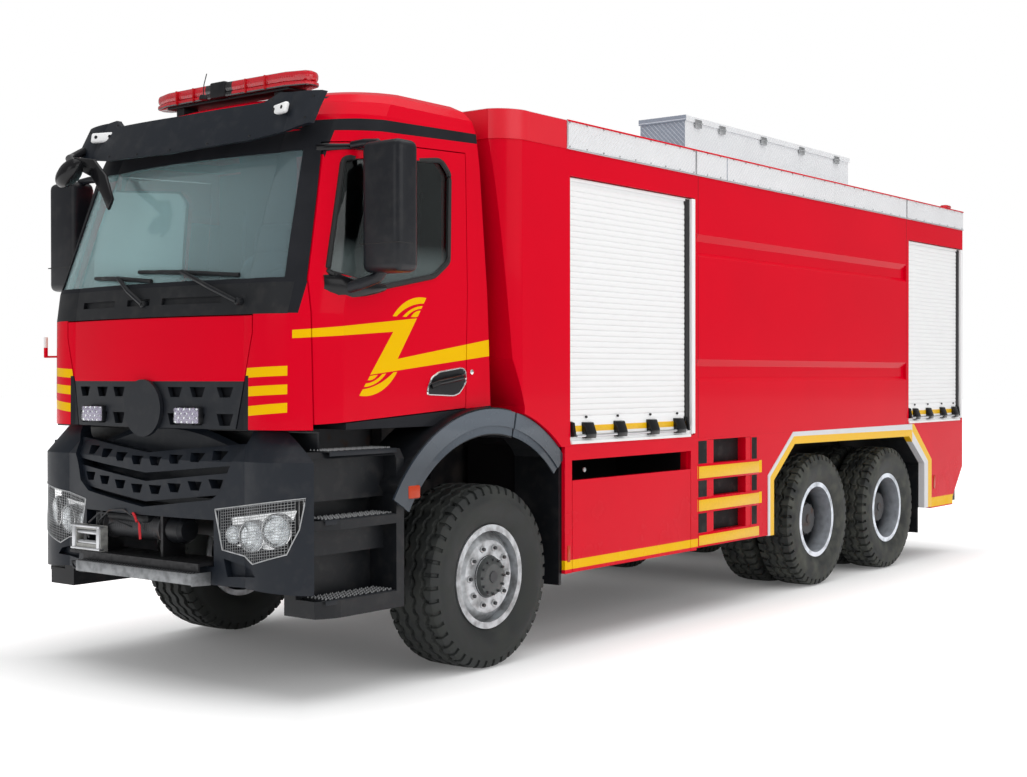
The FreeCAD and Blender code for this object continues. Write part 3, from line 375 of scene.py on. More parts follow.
behind_grille = cab_red.all_of(cab_red.below(outside, 0.76), cab_red.below(cab_red.z, 1.68),
                               cab_red.above(cab_red.x, 3.9))
# Painted shade: the inside of the cab, its underside and the wall behind the grille are painted near-black
# here, together with the black pillars, gutter and lower edge.
dark = cab_red.any_of(pillar, gutter, inside_shade, behind_grille, underneath, sill)
black = cab_red.mix(cab_red.noise(6.0), (0.011, 0.012, 0.015), (0.022, 0.023, 0.027))
cab_red.skin = cab_red.mix(dark, cab_red.skin, black)
cab_red.colour(cab_red.skin)
cab_red.rough(dark, 0.18, 0.5)
print("cab paint nodes:", len(cab_red.tree.nodes))

# %% [markdown]
# ### The body's bands
#
# Lower down the body has one yellow line along the bottom of the lockers and skirts, and a band on each upper
# rung. A line is a band between two heights, kept to the outer faces. The same graph draws the two thin
# upright seams, and paints the walls behind the front mudguard and under the floor near-black, as painted
# shade.

# %% Body paint with the low band
body_red = fire_red("body_red_paint")
across = body_red.size(body_red.y)
outer_face = body_red.above(across, 1.215)
front_line = body_red.all_of(body_red.between(body_red.z, 0.494, 0.549), body_red.above(body_red.x, 0.0))
rear_line = body_red.all_of(body_red.between(body_red.z, 0.475, 0.560), body_red.below(body_red.x, -3.5))
rungs = body_red.any_of(body_red.between(body_red.z, 0.961, 1.051),
                        body_red.between(body_red.z, 0.734, 0.818))
rung_bands = body_red.all_of(body_red.between(body_red.x, -0.345, 0.575), rungs, body_red.above(across, 1.16))
low_lines = body_red.all_of(outer_face, body_red.any_of(front_line, rear_line))
film(body_red, body_red.any_of(low_lines, rung_bands))
seams = body_red.any_of(*[body_red.between(body_red.x, place, place + 0.004) for place in (0.566, -2.992)])
seams = body_red.all_of(seams, outer_face, body_red.between(body_red.z, 1.247, 3.06))
# Painted shade: the walls under the floor and behind the front mudguard are painted near-black.
under_floor = body_red.all_of(body_red.below(body_red.z, 1.244), body_red.below(across, 1.17))
beside_guard = body_red.all_of(body_red.below(body_red.z, 1.42), body_red.below(across, 1.225),
                               body_red.above(body_red.x, 2.128))
behind_guard = body_red.any_of(under_floor, beside_guard)
body_red.skin = body_red.mix(body_red.any_of(seams, behind_guard), body_red.skin, (0.012, 0.011, 0.012))
body_red.colour(body_red.skin)
print("body paint nodes:", len(body_red.tree.nodes))

# %% [markdown]
# ### Plastics, rubber and cast metal
#
# The bumper, mirrors and steps are moulded with a fine leather-like grain, which scatters light
# and never looks quite even. Fine noise as bump gives the grain, and a slower noise drifts the
# colour and the roughness. A grain stamped into the mesh would need millions of faces.

# %% Plastics, rubber and castings
def moulded(name, colour, roughness=0.55, dusty=0.04):
    """Grained plastic with specks of dust."""
    plastic = Finish(name, colour, roughness)
    slow = plastic.noise(3.0, 5.0)
    dust = plastic.times(plastic.ramp(plastic.noise(14.0, 6.0), 0.5, 0.8), dusty)
    paler = tuple(value * 1.35 for value in colour)
    plastic.colour(plastic.mix(dust, plastic.mix(slow, colour, paler), (0.30, 0.27, 0.24)))
    plastic.rough(slow, roughness - 0.08, roughness + 0.12)
    plastic.bump(plastic.noise(420.0, 2.0), 0.0008, 0.2)
    return plastic.set(Specular_IOR_Level=0.3)


bumper_plastic = moulded("bumper_plastic", (0.0068, 0.0098, 0.0155), 0.42)
black_plastic = moulded("black_plastic", (0.0065, 0.0075, 0.0095), 0.42, 0.05)
mirror_plastic = moulded("mirror_plastic", (0.008, 0.009, 0.012), 0.32, 0.04)
grille_plastic = moulded("grille_plastic", (0.009, 0.011, 0.015), 0.45, 0.04)
guard_plastic = moulded("guard_plastic", (0.0065, 0.0075, 0.0095), 0.42, 0.05)
opening_shade_black = moulded("opening_shade_black", (0.004, 0.004, 0.005), 0.7, 0.1)
gloss_black = moulded("gloss_black", (0.006, 0.006, 0.007), 0.16, 0.0)
fender_plastic = moulded("fender_plastic", (0.030, 0.040, 0.054), 0.24, 0.02).set(Coat_Weight=0.5)
# Painted highlight: the mudguard plastic turns paler and bluer towards its top.
crest_highlight = fender_plastic.ramp(fender_plastic.z, 1.18, 1.42)
fender_plastic.colour(fender_plastic.mix(crest_highlight, fender_plastic.base, (0.095, 0.115, 0.140)))
frosted_lens = moulded("frosted_lens", (0.46, 0.42, 0.52), 0.3, 0.0)
cowl_plastic = moulded("cowl_plastic", (0.008, 0.009, 0.011), 0.5, 0.05)
trim_plastic = moulded("interior_plastic", (0.05, 0.052, 0.058), 0.6, 0.03)

chassis_paint = Finish("chassis_paint", (0.02, 0.02, 0.022), 0.4)
mud = chassis_paint.ramp(chassis_paint.noise(9.0, 8.0), 0.45, 0.8)
chassis_paint.colour(chassis_paint.mix(chassis_paint.times(mud, 0.5), chassis_paint.base,
                                       (0.12, 0.095, 0.075)))
chassis_paint.rough(mud, 0.32, 0.8).bump(chassis_paint.noise(90.0, 4.0), 0.001, 0.2)

casting = Finish("painted_casting", (0.045, 0.046, 0.05), 0.6, 0.2)
grit = casting.noise(150.0, 5.0)
rust = casting.ramp(casting.noise(12.0, 7.0), 0.55, 0.75)
casting.colour(casting.mix(casting.times(rust, 0.5), casting.base, (0.13, 0.05, 0.02)))
casting.rough(rust, 0.5, 0.85).bump(grit, 0.003, 0.4)

rubber = Finish("tyre_rubber", (0.022, 0.022, 0.023), 0.75)
road_dust = rubber.ramp(rubber.noise(11.0, 7.0), 0.38, 0.72)
driven = rubber.below(rubber.x, 0.0)
dusty = rubber.times(road_dust, rubber.plus(0.20, rubber.times(driven, 0.45)))
rubber.colour(rubber.mix(dusty, (0.014, 0.0165, 0.0165), (0.115, 0.12, 0.10)))
rubber.rough(road_dust, 0.6, 0.92).bump(rubber.noise(320.0, 3.0), 0.001, 0.3)

seal_rubber = Finish("seal_rubber", (0.012, 0.012, 0.013), 0.6)
seal_rubber.bump(seal_rubber.noise(200.0, 2.0), 0.0006, 0.3).rough(seal_rubber.noise(20.0), 0.5, 0.75)

# %% [markdown]
# ### Metals
#
# The wheels are silver painted steel with brake dust. Their hubs are dark. Deep inside, a rear rim is painted
# near-black as painted shade, and its outer lip gets a paler, bluer silver than the front rims as a painted
# highlight. The plate along the roof edge is aluminium rolled with raised diamonds, and the raised diamonds
# are painted white as a painted highlight. The diamonds are a repeating pattern, so they are worked out from
# the place alone: each point is folded back into one small cell, and a stretched distance inside the cell
# gives a lozenge. Every second cell is turned, as on real plate. The roof box's front end is painted darker
# and bluer as painted shade.

# %% Metals
def bright(name, colour, roughness, scale, dirt=0.2):
    """Bare or silver-painted metal with darker, rougher clouds."""
    metal = Finish(name, colour, roughness, 0.9)
    cloud = metal.ramp(metal.noise(scale, 6.0), 0.4, 0.75)
    metal.colour(metal.mix(metal.times(cloud, dirt), colour, tuple(value * 0.4 for value in colour)))
    metal.rough(cloud, roughness, roughness + 0.25).bump(metal.noise(180.0, 3.0), 0.0005, 0.15)
    return metal


wheel_silver = bright("wheel_silver", (0.42, 0.435, 0.445), 0.28, 14.0, 0.5)
behind = wheel_silver.below(wheel_silver.x, 0.0)
deep = wheel_silver.ramp(wheel_silver.size(wheel_silver.y), 1.02, 1.18)
lit = wheel_silver.any_of(wheel_silver.minus(1.0, behind), deep)
hubs = []
for axle, reach in ((FRONT_AXLE, 0.118), (MIDDLE_AXLE, 0.13), (REAR_AXLE, 0.13)):
    across = wheel_silver.minus(wheel_silver.x, axle)
    up = wheel_silver.minus(wheel_silver.z, AXLE_HEIGHT)
    squares = wheel_silver.plus(wheel_silver.times(across, across), wheel_silver.times(up, up))
    hubs.append(wheel_silver.below(wheel_silver.maths("SQRT", squares), reach))
hub = wheel_silver.any_of(*hubs)
brake_dust = wheel_silver.ramp(wheel_silver.noise(14.0, 6.0), 0.4, 0.75)
# Painted highlight: the rear rims get a paler, bluer silver than the front ones, in both the clean and the
# brake-dusted colour.
clean_with_rear_highlight = wheel_silver.mix(behind, (0.50, 0.52, 0.54), (0.74, 0.79, 0.86))
dusty_with_rear_highlight = wheel_silver.mix(behind, (0.17, 0.17, 0.17), (0.44, 0.47, 0.51))
hub_colour = wheel_silver.mix(behind, (0.045, 0.05, 0.05), (0.03, 0.034, 0.036))
# Painted shade: where lit is 0, deep inside a rear rim, the colour is near-black.
silver = wheel_silver.mix(lit, (0.016, 0.018, 0.022), wheel_silver.mix(brake_dust, clean_with_rear_highlight, dusty_with_rear_highlight))
wheel_silver.colour(wheel_silver.mix(hub, silver, hub_colour))
bare = wheel_silver.times(lit, wheel_silver.minus(1.0, hub))
wheel_silver.feed(wheel_silver.shader.inputs["Metallic"], wheel_silver.times(0.6, bare))
zinc = bright("zinc_steel", (0.5, 0.51, 0.52), 0.38, 22.0, 0.4)
winch_paint = Finish("winch_paint", (0.02, 0.02, 0.022), 0.45, 0.3)
fairlead = winch_paint.all_of(winch_paint.above(winch_paint.x, 4.305),
                              winch_paint.below(winch_paint.y, -0.30),
                              winch_paint.above(winch_paint.z, 0.7045))
galvanised = winch_paint.any_of(fairlead, winch_paint.below(winch_paint.z, 0.652))
spangle = winch_paint.ramp(winch_paint.noise(45.0, 4.0), 0.35, 0.7)
winch_paint.colour(winch_paint.mix(galvanised, (0.012, 0.012, 0.014),
                                   winch_paint.mix(spangle, (0.26, 0.26, 0.25), (0.42, 0.42, 0.40))))
winch_paint.rough(spangle, 0.35, 0.6).bump(winch_paint.noise(120.0), 0.0008, 0.2)

chrome = bright("chrome", (0.78, 0.79, 0.8), 0.08, 30.0, 0.1)
satin_aluminium = bright("satin_aluminium", (0.62, 0.63, 0.65), 0.34, 6.0, 0.15)


def diamonds(plate, across, up):
    """1 on the raised lozenges of rolled plate that lies in the plane of two axes."""
    first = plate.plus(across, up)
    second = plate.minus(across, up)
    pitch = 0.036
    lozenges = []
    for along, over, shift in ((first, second, 0.0), (second, first, 0.5)):
        u = plate.minus(plate.maths("FRACT", plate.plus(plate.over(along, pitch), shift)), 0.5)
        v = plate.minus(plate.maths("FRACT", plate.over(over, pitch)), 0.5)
        shape = plate.plus(plate.size(u), plate.times(plate.size(v), 3.2))
        lozenges.append(plate.ramp(shape, 0.46, 0.30))
    return plate.any_of(*lozenges)


deck_plate = Finish("treadplate", (0.66, 0.67, 0.69), 0.3, 0.75)
EDGE_TOP, LID_TOP, BOX_FRONT, BOX_BACK, DECK_BACK = 3.2365, 3.573, 0.1695, -2.5485, -4.309
upward = deck_plate.any_of(deck_plate.between(deck_plate.z, 3.20, EDGE_TOP),
                           deck_plate.above(deck_plate.z, LID_TOP))
flat_on_top = deck_plate.times(upward, deck_plate.below(deck_plate.size(deck_plate.y), 1.245))
at_end = deck_plate.any_of(deck_plate.below(deck_plate.x, DECK_BACK),
                           deck_plate.between(deck_plate.x, BOX_BACK, BOX_BACK + 0.001),
                           deck_plate.between(deck_plate.x, BOX_FRONT - 0.001, BOX_FRONT))
on_sides = diamonds(deck_plate, deck_plate.x, deck_plate.z)
raised = deck_plate.mix(flat_on_top, on_sides, diamonds(deck_plate, deck_plate.x, deck_plate.y))
raised = deck_plate.mix(at_end, raised, diamonds(deck_plate, deck_plate.y, deck_plate.z))
cheek = deck_plate.times(deck_plate.above(deck_plate.x, 2.12), deck_plate.below(deck_plate.z, 3.232))
cloud = deck_plate.noise(4.0, 5.0)
# Painted highlight: the raised diamonds are painted white.
plain = deck_plate.mix(raised, deck_plate.mix(cloud, (0.74, 0.75, 0.77), (0.84, 0.85, 0.87)), (1.0, 1.0, 1.0))
# Painted shade: the roof box's front end is painted darker and bluer, with its diamonds still lighter.
box_end = deck_plate.between(deck_plate.x, BOX_FRONT - 0.001, 0.1800)
plain = deck_plate.mix(box_end, plain, deck_plate.mix(raised, (0.26, 0.29, 0.35), (0.58, 0.61, 0.68)))
deck_plate.colour(deck_plate.mix(cheek, plain, RED))
bare = deck_plate.minus(1.0, cheek)
deck_plate.feed(deck_plate.shader.inputs["Metallic"], deck_plate.times(bare, 0.04))
deck_plate.rough(cloud, 0.25, 0.45)
deck_plate.bump(deck_plate.times(raised, bare), 0.003, 0.9)

white_coat = Finish("white_coat", (0.86, 0.865, 0.87), 0.38)
grime = white_coat.ramp(white_coat.noise(7.0, 6.0), 0.5, 0.9)
white_coat.colour(white_coat.mix(white_coat.times(grime, 0.05), white_coat.base, (0.45, 0.43, 0.41)))
white_coat.rough(grime, 0.4, 0.5).bump(white_coat.noise(240.0), 0.0002, 0.03)

trim_coat = Finish("arch_trim_coat", (0.72, 0.73, 0.75), 0.35)
inner_band = patch(trim_coat, (-3.468, 0.47), (-3.466, 0.899), (-3.093, 1.196), (-0.845, 1.211),
                   (-0.467, 0.920), (-0.467, 0.47))
trim_coat.skin = trim_coat.mix(trim_coat.noise(7.0, 6.0), trim_coat.base, (0.64, 0.64, 0.66))
rearward = trim_coat.below(trim_coat.x, -3.11)
film(trim_coat, trim_coat.size(trim_coat.minus(inner_band, rearward)))
trim_coat.rough(trim_coat.noise(12.0), 0.3, 0.5)

yellow_film = Finish("yellow_film", YELLOW, 0.4)
yellow_film.colour(yellow_film.mix(yellow_film.noise(60.0, 5.0), YELLOW, (0.74, 0.42, 0.0)))
yellow_film.bump(yellow_film.noise(500.0), 0.0003, 0.2)

# %% [markdown]
# ### Glass and lenses
#
# Cab glass is lightly green, and lamp covers are clear or coloured. Glass is a Principled shader with high
# transmission. The door glass is darker and gets paler towards its lower edge. The windscreen's colour is
# paler towards the truck's right, as painted reflection. A faint bump keeps glass from looking like air.

# %% Glass and lenses
def see_through(name, colour, roughness, ripple):
    """Clear or tinted glass with a faint ripple."""
    glass = Finish(name, colour, roughness)
    glass.bump(glass.noise(ripple, 2.0), 0.0004, 0.06)
    return glass.set(Transmission_Weight=1.0, IOR=1.45)


cab_glass = see_through("tinted_glass", (0.60, 0.78, 0.80), 0.02, 3.0).set(Transmission_Weight=0.80)
door_glass = see_through("door_glass", (0.20, 0.25, 0.25), 0.02, 3.0)
door_glass.feed(door_glass.shader.inputs["Transmission Weight"],
                door_glass.minus(1.0, door_glass.times(door_glass.ramp(door_glass.z, 2.40, 2.28), 0.35)))
# Painted reflection: the windscreen's colour is paler towards the truck's right.
cab_glass.colour(cab_glass.mix(cab_glass.ramp(cab_glass.y, -0.25, 0.95), (0.58, 0.80, 0.82),
                               (0.36, 0.49, 0.53)))
reflector = moulded("orange_reflector", (0.42, 0.035, 0.006), 0.25, 0.02)
lamp_glass = see_through("lamp_glass", (0.92, 0.94, 0.95), 0.03, 60.0)
red_lens = see_through("red_lens", (0.62, 0.01, 0.02), 0.18, 120.0)
red_lens_solid = moulded("red_lens_cover", (0.42, 0.004, 0.008), 0.2, 0.02)
mirror_face = bright("mirror_face", (0.75, 0.77, 0.78), 0.03, 40.0, 0.05)
red_dome = Finish("red_lamp_cover", (0.55, 0.0, 0.012), 0.12)
beyond = red_dome.below(red_dome.size(red_dome.plus(red_dome.y, 0.03)), 0.115)
low = red_dome.below(red_dome.z, 3.284)
lens_red = red_dome.mix(red_dome.noise(30.0), (0.50, 0.0, 0.012), (0.62, 0.01, 0.02))
red_dome.colour(red_dome.mix(red_dome.any_of(beyond, low), lens_red, (0.012, 0.012, 0.013)))
red_dome.bump(red_dome.maths("SINE", red_dome.times(red_dome.y, 420.0)), 0.0015, 0.5)
red_dome.set(Coat_Weight=0.6)

red_strap = Finish("red_strap", (0.6, 0.005, 0.012), 0.7)
weave = red_strap.maths("SINE", red_strap.times(red_strap.plus(red_strap.y, red_strap.z), 1800.0))
red_strap.colour(red_strap.mix(red_strap.ramp(weave, -1.0, 1.0), (0.42, 0.003, 0.01), (0.68, 0.01, 0.02)))
red_strap.bump(weave, 0.0006, 0.4)
step_zinc = bright("step_zinc", (0.30, 0.31, 0.32), 0.45, 25.0, 0.5)

cloth = Finish("seat_cloth", (0.045, 0.05, 0.065), 0.9)
across, along = cloth.times(cloth.y, 1400.0), cloth.times(cloth.plus(cloth.x, cloth.z), 1400.0)
threads = cloth.times(cloth.maths("SINE", across), cloth.maths("SINE", along))
cloth.colour(cloth.mix(cloth.ramp(threads, -1.0, 1.0), (0.03, 0.033, 0.045), (0.075, 0.08, 0.10)))
cloth.bump(threads, 0.0008, 0.5).set(Sheen_Weight=0.3)
print("finishes:", len(bpy.data.materials))

# %% [markdown]
# ## Finishes on the CAD nodes
#
# The CAD shapes that are right stay, and each gets its finish in its material slots. The shape
# itself isn't touched.

# %% Dress the CAD nodes
def dress(finish, *names):
    """Puts one finish in the material slots of the named CAD nodes."""
    for name in names:
        body = nodes[name]
        if not body.material_slots:
            body.data.materials.append(finish.material)
        for place in body.material_slots:
            place.link = "OBJECT"
            place.material = finish.material


dress(cab_red, "cab_shell", "left_door", "right_door")
dress(plain_red, "bonnet_flap")
dress(body_red, "body_shell", "left_locker_flap", "right_locker_flap", "side_skirts", "lower_lockers",
      "rung_ladders")
dress(bumper_plastic, "front_bumper", "sun_visor")
dress(black_plastic, "left_mirror", "right_mirror", "headlamps")
dress(grille_plastic, "grille")
dress(guard_plastic, "mudguards")
dress(cowl_plastic, "wiper_cowl")
dress(trim_plastic, "dashboard")
dress(chassis_paint, "chassis_frame", "rear_underrun")
dress(casting, "front_axle", "rear_axles", "left_knuckle", "right_knuckle", "engine_block")
dress(satin_aluminium, "rear_ladder")
dress(deck_plate, "roof_deck", "roof_box_lid")
dress(white_coat, "locker_shutters")
dress(trim_coat, "arch_trims")
dress(cab_glass, "windscreen")
dress(door_glass, "left_door_glass", "right_door_glass")
dress(red_dome, "light_bar")
dress(winch_paint, "winch")
dress(cloth, "seats")
for side in ("left", "right"):
    dress(rubber, side + "_front_tyre", side + "_middle_tyres", side + "_rear_tyres")
    dress(wheel_silver, side + "_front_rim", side + "_middle_rims", side + "_rear_rims")
print("dressed:", sum(1 for node in nodes.values() if node.material_slots))

# %% [markdown]
# ## Floor, background and lamps
#
# A plain pale floor and soft lamps show the shape without strong highlights. The floor is white to the eye
# but still takes the truck's shadow: what the camera sees is mostly its own plain light, and the part that is
# lit by lamps darkens under the truck. The floor's own light is dimmed close to the truck, which paints a
# deeper shadow there. The lamps are large areas, because a large lamp gives a soft edge to each shadow.

# %% Floor and lamps
floor_mesh = bmesh.new()
bmesh.ops.create_grid(floor_mesh, x_segments=1, y_segments=1, size=90.0)
floor_data = bpy.data.meshes.new("studio_floor")
floor_mesh.to_mesh(floor_data)
floor_mesh.free()
floor = bpy.data.objects.new("studio_floor", floor_data)
bpy.context.scene.collection.objects.link(floor)
floor_finish = Finish("studio_floor", (0.8, 0.8, 0.8), 0.9)
seen = floor_finish.add("ShaderNodeLightPath")
direct = floor_finish.any_of(seen.outputs["Is Camera Ray"], seen.outputs["Is Glossy Ray"],
                             seen.outputs["Is Transmission Ray"])
# Painted shadow: the floor's own glow is dimmed close to the truck.
beside = floor_finish.maths("MAXIMUM", floor_finish.minus(floor_finish.size(floor_finish.x), 4.3),
                            floor_finish.minus(floor_finish.size(floor_finish.y), 1.2))
glow = floor_finish.plus(0.07, floor_finish.times(floor_finish.ramp(beside, -0.30, 1.0), 0.50))
floor_finish.feed(floor_finish.shader.inputs["Emission Strength"], floor_finish.times(direct, glow))
floor_finish.set(Emission_Color=(1.0, 1.0, 1.0, 1.0))
floor.data.materials.append(floor_finish.material)
floor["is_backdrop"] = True

world = bpy.data.worlds.new("studio_air")
bpy.context.scene.world = world
world.use_nodes = True
air = world.node_tree
seen = air.nodes.new("ShaderNodeLightPath")
brightest = air.nodes.new("ShaderNodeMath")
brightest.operation = "MAXIMUM"
air.links.new(seen.outputs["Is Camera Ray"], brightest.inputs[0])
air.links.new(seen.outputs["Is Transmission Ray"], brightest.inputs[1])
softer = air.nodes.new("ShaderNodeMapRange")
softer.inputs["To Min"].default_value = 0.85
softer.inputs["To Max"].default_value = 0.30
air.links.new(seen.outputs["Is Glossy Ray"], softer.inputs["Value"])
level = air.nodes.new("ShaderNodeMapRange")
air.links.new(softer.outputs[0], level.inputs["To Min"])
level.inputs["To Max"].default_value = 1.0
air.links.new(brightest.outputs[0], level.inputs["Value"])
air.links.new(level.outputs[0], air.nodes["Background"].inputs["Strength"])
air.nodes["Background"].inputs["Color"].default_value = (1.0, 1.0, 1.0, 1.0)


def lamp(name, place, aim, size, watts):
    """A rectangular soft lamp that shines from place towards aim."""
    data = bpy.data.lights.new(name, "AREA")
    data.shape = "RECTANGLE"
    data.size, data.size_y = size
    data.energy = watts
    made = bpy.data.objects.new(name, data)
    made.location = place
    made.rotation_mode = "QUATERNION"
    made.rotation_quaternion = (Vector(aim) - Vector(place)).to_track_quat("-Z", "Y")
    bpy.context.scene.collection.objects.link(made)


lamp("sky_panel", (1.0, 2.0, 12.0), (0.0, 0.0, 1.0), (16.0, 10.0), 620.0)
lamp("side_panel", (2.0, 13.0, 6.0), (0.0, 0.0, 1.5), (12.0, 6.0), 300.0)
lamp("front_panel", (14.0, 1.0, 5.0), (3.0, 0.0, 1.5), (6.0, 5.0), 90.0)

# %% [markdown]
# ## Making pieces
#
# Every new piece starts as a bmesh: a primitive, or a few points joined by one face, which
# operators then extrude, spin, inset or bevel. These helpers wrap the few steps that repeat.
# The bevel matters most: no real edge is perfectly sharp, and a small rounded edge catches
# light. A piece's place is in its mesh, so its object stays at the origin.

# %% Helpers for pieces
def added(shape, before):
    """The points that have been made since before was noted."""
    return [vert for vert in shape.verts if vert not in before]


def verts_of(items):
    return [item for item in items if isinstance(item, bmesh.types.BMVert)]


def edges_of(verts):
    """Each edge that meets the points, listed once."""
    return list(dict.fromkeys(edge for vert in verts for edge in vert.link_edges))


def faces_of(verts):
    """Each face that meets the points, listed once."""
    return list(dict.fromkeys(face for vert in verts for face in vert.link_faces))


def copied(shape, verts):
    """Duplicates the part of the shape that the points carry, and gives the new items."""
    return bmesh.ops.duplicate(shape, geom=list(verts) + edges_of(verts) + faces_of(verts))["geom"]


def paint_faces(verts, material):
    for face in faces_of(verts):
        face.material_index = material


def soften(shape, verts, width, segments=2):
    """Rounds the sharp edges among the given points."""
    edges = [edge for edge in edges_of(verts) if len(edge.link_faces) == 2 and edge.calc_face_angle() > 0.5]
    bmesh.ops.bevel(shape, geom=edges, offset=width, offset_type="OFFSET", segments=segments, profile=0.5,
                    affect="EDGES", clamp_overlap=True, material=-1)


def box(shape, low, high, bevel=0.0, material=0, segments=2):
    """A block between two corners, with rounded edges."""
    before = set(shape.verts)
    verts = bmesh.ops.create_cube(shape, size=1.0)["verts"]
    low, high = Vector(low), Vector(high)
    bmesh.ops.scale(shape, vec=high - low, verts=verts)
    bmesh.ops.translate(shape, vec=(high + low) / 2, verts=verts)
    if bevel:
        soften(shape, verts, bevel, segments)
    verts = added(shape, before)
    paint_faces(verts, material)
    return verts


def rod(shape, start, end, radius, end_radius=None, sides=16, bevel=0.0, material=0):
    """A round bar or cone from start to end."""
    before = set(shape.verts)
    start, end = Vector(start), Vector(end)
    verts = bmesh.ops.create_cone(shape, cap_ends=True, segments=sides, radius1=radius,
                                  radius2=radius if end_radius is None else end_radius,
                                  depth=(end - start).length)["verts"]
    turn = (end - start).to_track_quat("Z", "Y").to_matrix()
    bmesh.ops.rotate(shape, cent=(0, 0, 0), matrix=turn, verts=verts)
    bmesh.ops.translate(shape, vec=(start + end) / 2, verts=verts)
    if bevel:
        soften(shape, verts, bevel, 2)
    verts = added(shape, before)
    paint_faces(verts, material)
    return verts


def plate(shape, corners, along, bevel=0.0, material=0):
    """A flat outline, drawn through its corners and given thickness along a vector."""
    before = set(shape.verts)
    face = shape.faces.new([shape.verts.new(corner) for corner in corners])
    pushed = bmesh.ops.extrude_face_region(shape, geom=[face])["geom"]
    bmesh.ops.translate(shape, vec=along, verts=verts_of(pushed))
    verts = added(shape, before)
    bmesh.ops.recalc_face_normals(shape, faces=faces_of(verts))
    if bevel:
        soften(shape, verts, bevel, 2)
    verts = added(shape, before)
    paint_faces(verts, material)
    return verts


def turned(shape, centre, profile, steps=48, material=0, axis=(0, 1, 0)):
    """A profile of (offset along the axis, radius) points, spun once round the axis."""
    before = set(shape.verts)
    centre, axis = Vector(centre), Vector(axis)
    side = Vector((0, 0, 1)) if abs(axis.z) < 0.5 else Vector((1, 0, 0))
    chain = [shape.verts.new(centre + axis * offset + side * radius) for offset, radius in profile]
    edges = [shape.edges.new(pair) for pair in zip(chain, chain[1:])]
    bmesh.ops.spin(shape, geom=chain + edges, cent=centre, axis=axis, dvec=(0, 0, 0), angle=math.tau,
                   steps=steps, use_merge=True, use_duplicate=False)
    verts = added(shape, before)
    bmesh.ops.remove_doubles(shape, verts=verts, dist=0.00005)
    verts = added(shape, before)
    bmesh.ops.recalc_face_normals(shape, faces=faces_of(verts))
    paint_faces(verts, material)
    return verts


def both_sides(shape, verts=None):
    """Copies the shape, or part of it, to the truck's other side."""
    copy = copied(shape, verts or shape.verts[:])
    bmesh.ops.scale(shape, vec=(1, -1, 1), verts=verts_of(copy))
    bmesh.ops.reverse_faces(shape, faces=[item for item in copy if isinstance(item, bmesh.types.BMFace)])


def to_right(shape):
    """Moves the whole shape to the truck's other side."""
    bmesh.ops.scale(shape, vec=(1, -1, 1), verts=shape.verts)
    bmesh.ops.reverse_faces(shape, faces=shape.faces)


made_pieces = []


def settle(name, shape, finishes, body="root", smooth=38.0):
    """Turns the bmesh into an object that rides on a body."""
    data = bpy.data.meshes.new(name)
    shape.to_mesh(data)
    shape.free()
    made = bpy.data.objects.new(name, data)
    bpy.context.scene.collection.objects.link(made)
    for finish in finishes if isinstance(finishes, (list, tuple)) else [finishes]:
        data.materials.append(finish.material)
    data.polygons.foreach_set("use_smooth", [True] * len(data.polygons))
    data.set_sharp_from_angle(angle=math.radians(smooth))
    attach(made, body)
    made_pieces.append(made)
    return made

# %% [markdown]
# ## Measuring on the CAD surface
#
# Small pieces sit on curved panels. Their place could be read off a drawing, but a ray shot at
# the panel answers directly, so a lamp or a hinge lands on the surface wherever it curves.
# `wire` bends a bar through points: a round face is pushed from point to point, and each push
# is one `extrude_face_region`.

# %% Rays and bent bars
def surface(*names):
    """One searchable surface from the named nodes."""
    points, faces = [], []
    for name in names:
        data = nodes[name].data
        start = len(points)
        points += [vert.co.copy() for vert in data.vertices]
        faces += [[start + corner for corner in face.vertices] for face in data.polygons]
    return BVHTree.FromPolygons(points, faces)


def front_x(skin, y, z, otherwise=4.2):
    """The X of the first surface met when looking back from the front."""
    place = skin.ray_cast(Vector((7.0, y, z)), Vector((-1, 0, 0)))[0]
    return place.x if place else otherwise


def side_y(skin, x, z, otherwise=1.15):
    """The Y of the left side's surface."""
    place = skin.ray_cast(Vector((x, 3.0, z)), Vector((0, -1, 0)))[0]
    return place.y if place else otherwise


def wire(shape, points, radius, sides=6, material=0):
    """A bar bent through points: a round face pushed from point to point."""
    before = set(shape.verts)
    points = [Vector(point) for point in points]
    last = len(points) - 1
    turns = [(points[min(place + 1, last)] - points[max(place - 1, 0)]).to_track_quat("Z", "Y").to_matrix()
             for place in range(last + 1)]
    ring = bmesh.ops.create_circle(shape, cap_ends=True, radius=radius, segments=sides)["verts"]
    bmesh.ops.rotate(shape, cent=(0, 0, 0), matrix=turns[0], verts=ring)
    bmesh.ops.translate(shape, vec=points[0], verts=ring)
    face = ring[0].link_faces[0]
    for place in range(1, last + 1):
        pushed = bmesh.ops.extrude_face_region(shape, geom=[face])["geom"]
        ring = verts_of(pushed)
        face = [item for item in pushed if isinstance(item, bmesh.types.BMFace)][0]
        bmesh.ops.translate(shape, vec=points[place] - points[place - 1], verts=ring)
        bmesh.ops.rotate(shape, cent=points[place], matrix=turns[place] @ turns[place - 1].inverted(),
                         verts=ring)
    verts = added(shape, before)
    bmesh.ops.recalc_face_normals(shape, faces=faces_of(verts))
    paint_faces(verts, material)
    return verts


def span(outline, across):
    """The lowest and highest point of a convex outline at one place across it."""
    heights = []
    for (y0, z0), (y1, z1) in zip(outline, outline[1:] + outline[:1]):
        if y0 != y1 and min(y0, y1) <= across <= max(y0, y1):
            heights.append(z0 + (z1 - z0) * (across - y0) / (y1 - y0))
    return (min(heights), max(heights)) if len(heights) > 1 else (0.0, 0.0)


def steps_between(low, high, pitch):
    """Evenly spaced places from low to high, about one pitch apart."""
    count = max(1, round((high - low) / pitch))
    return [low + (high - low) * step / count for step in range(count + 1)]

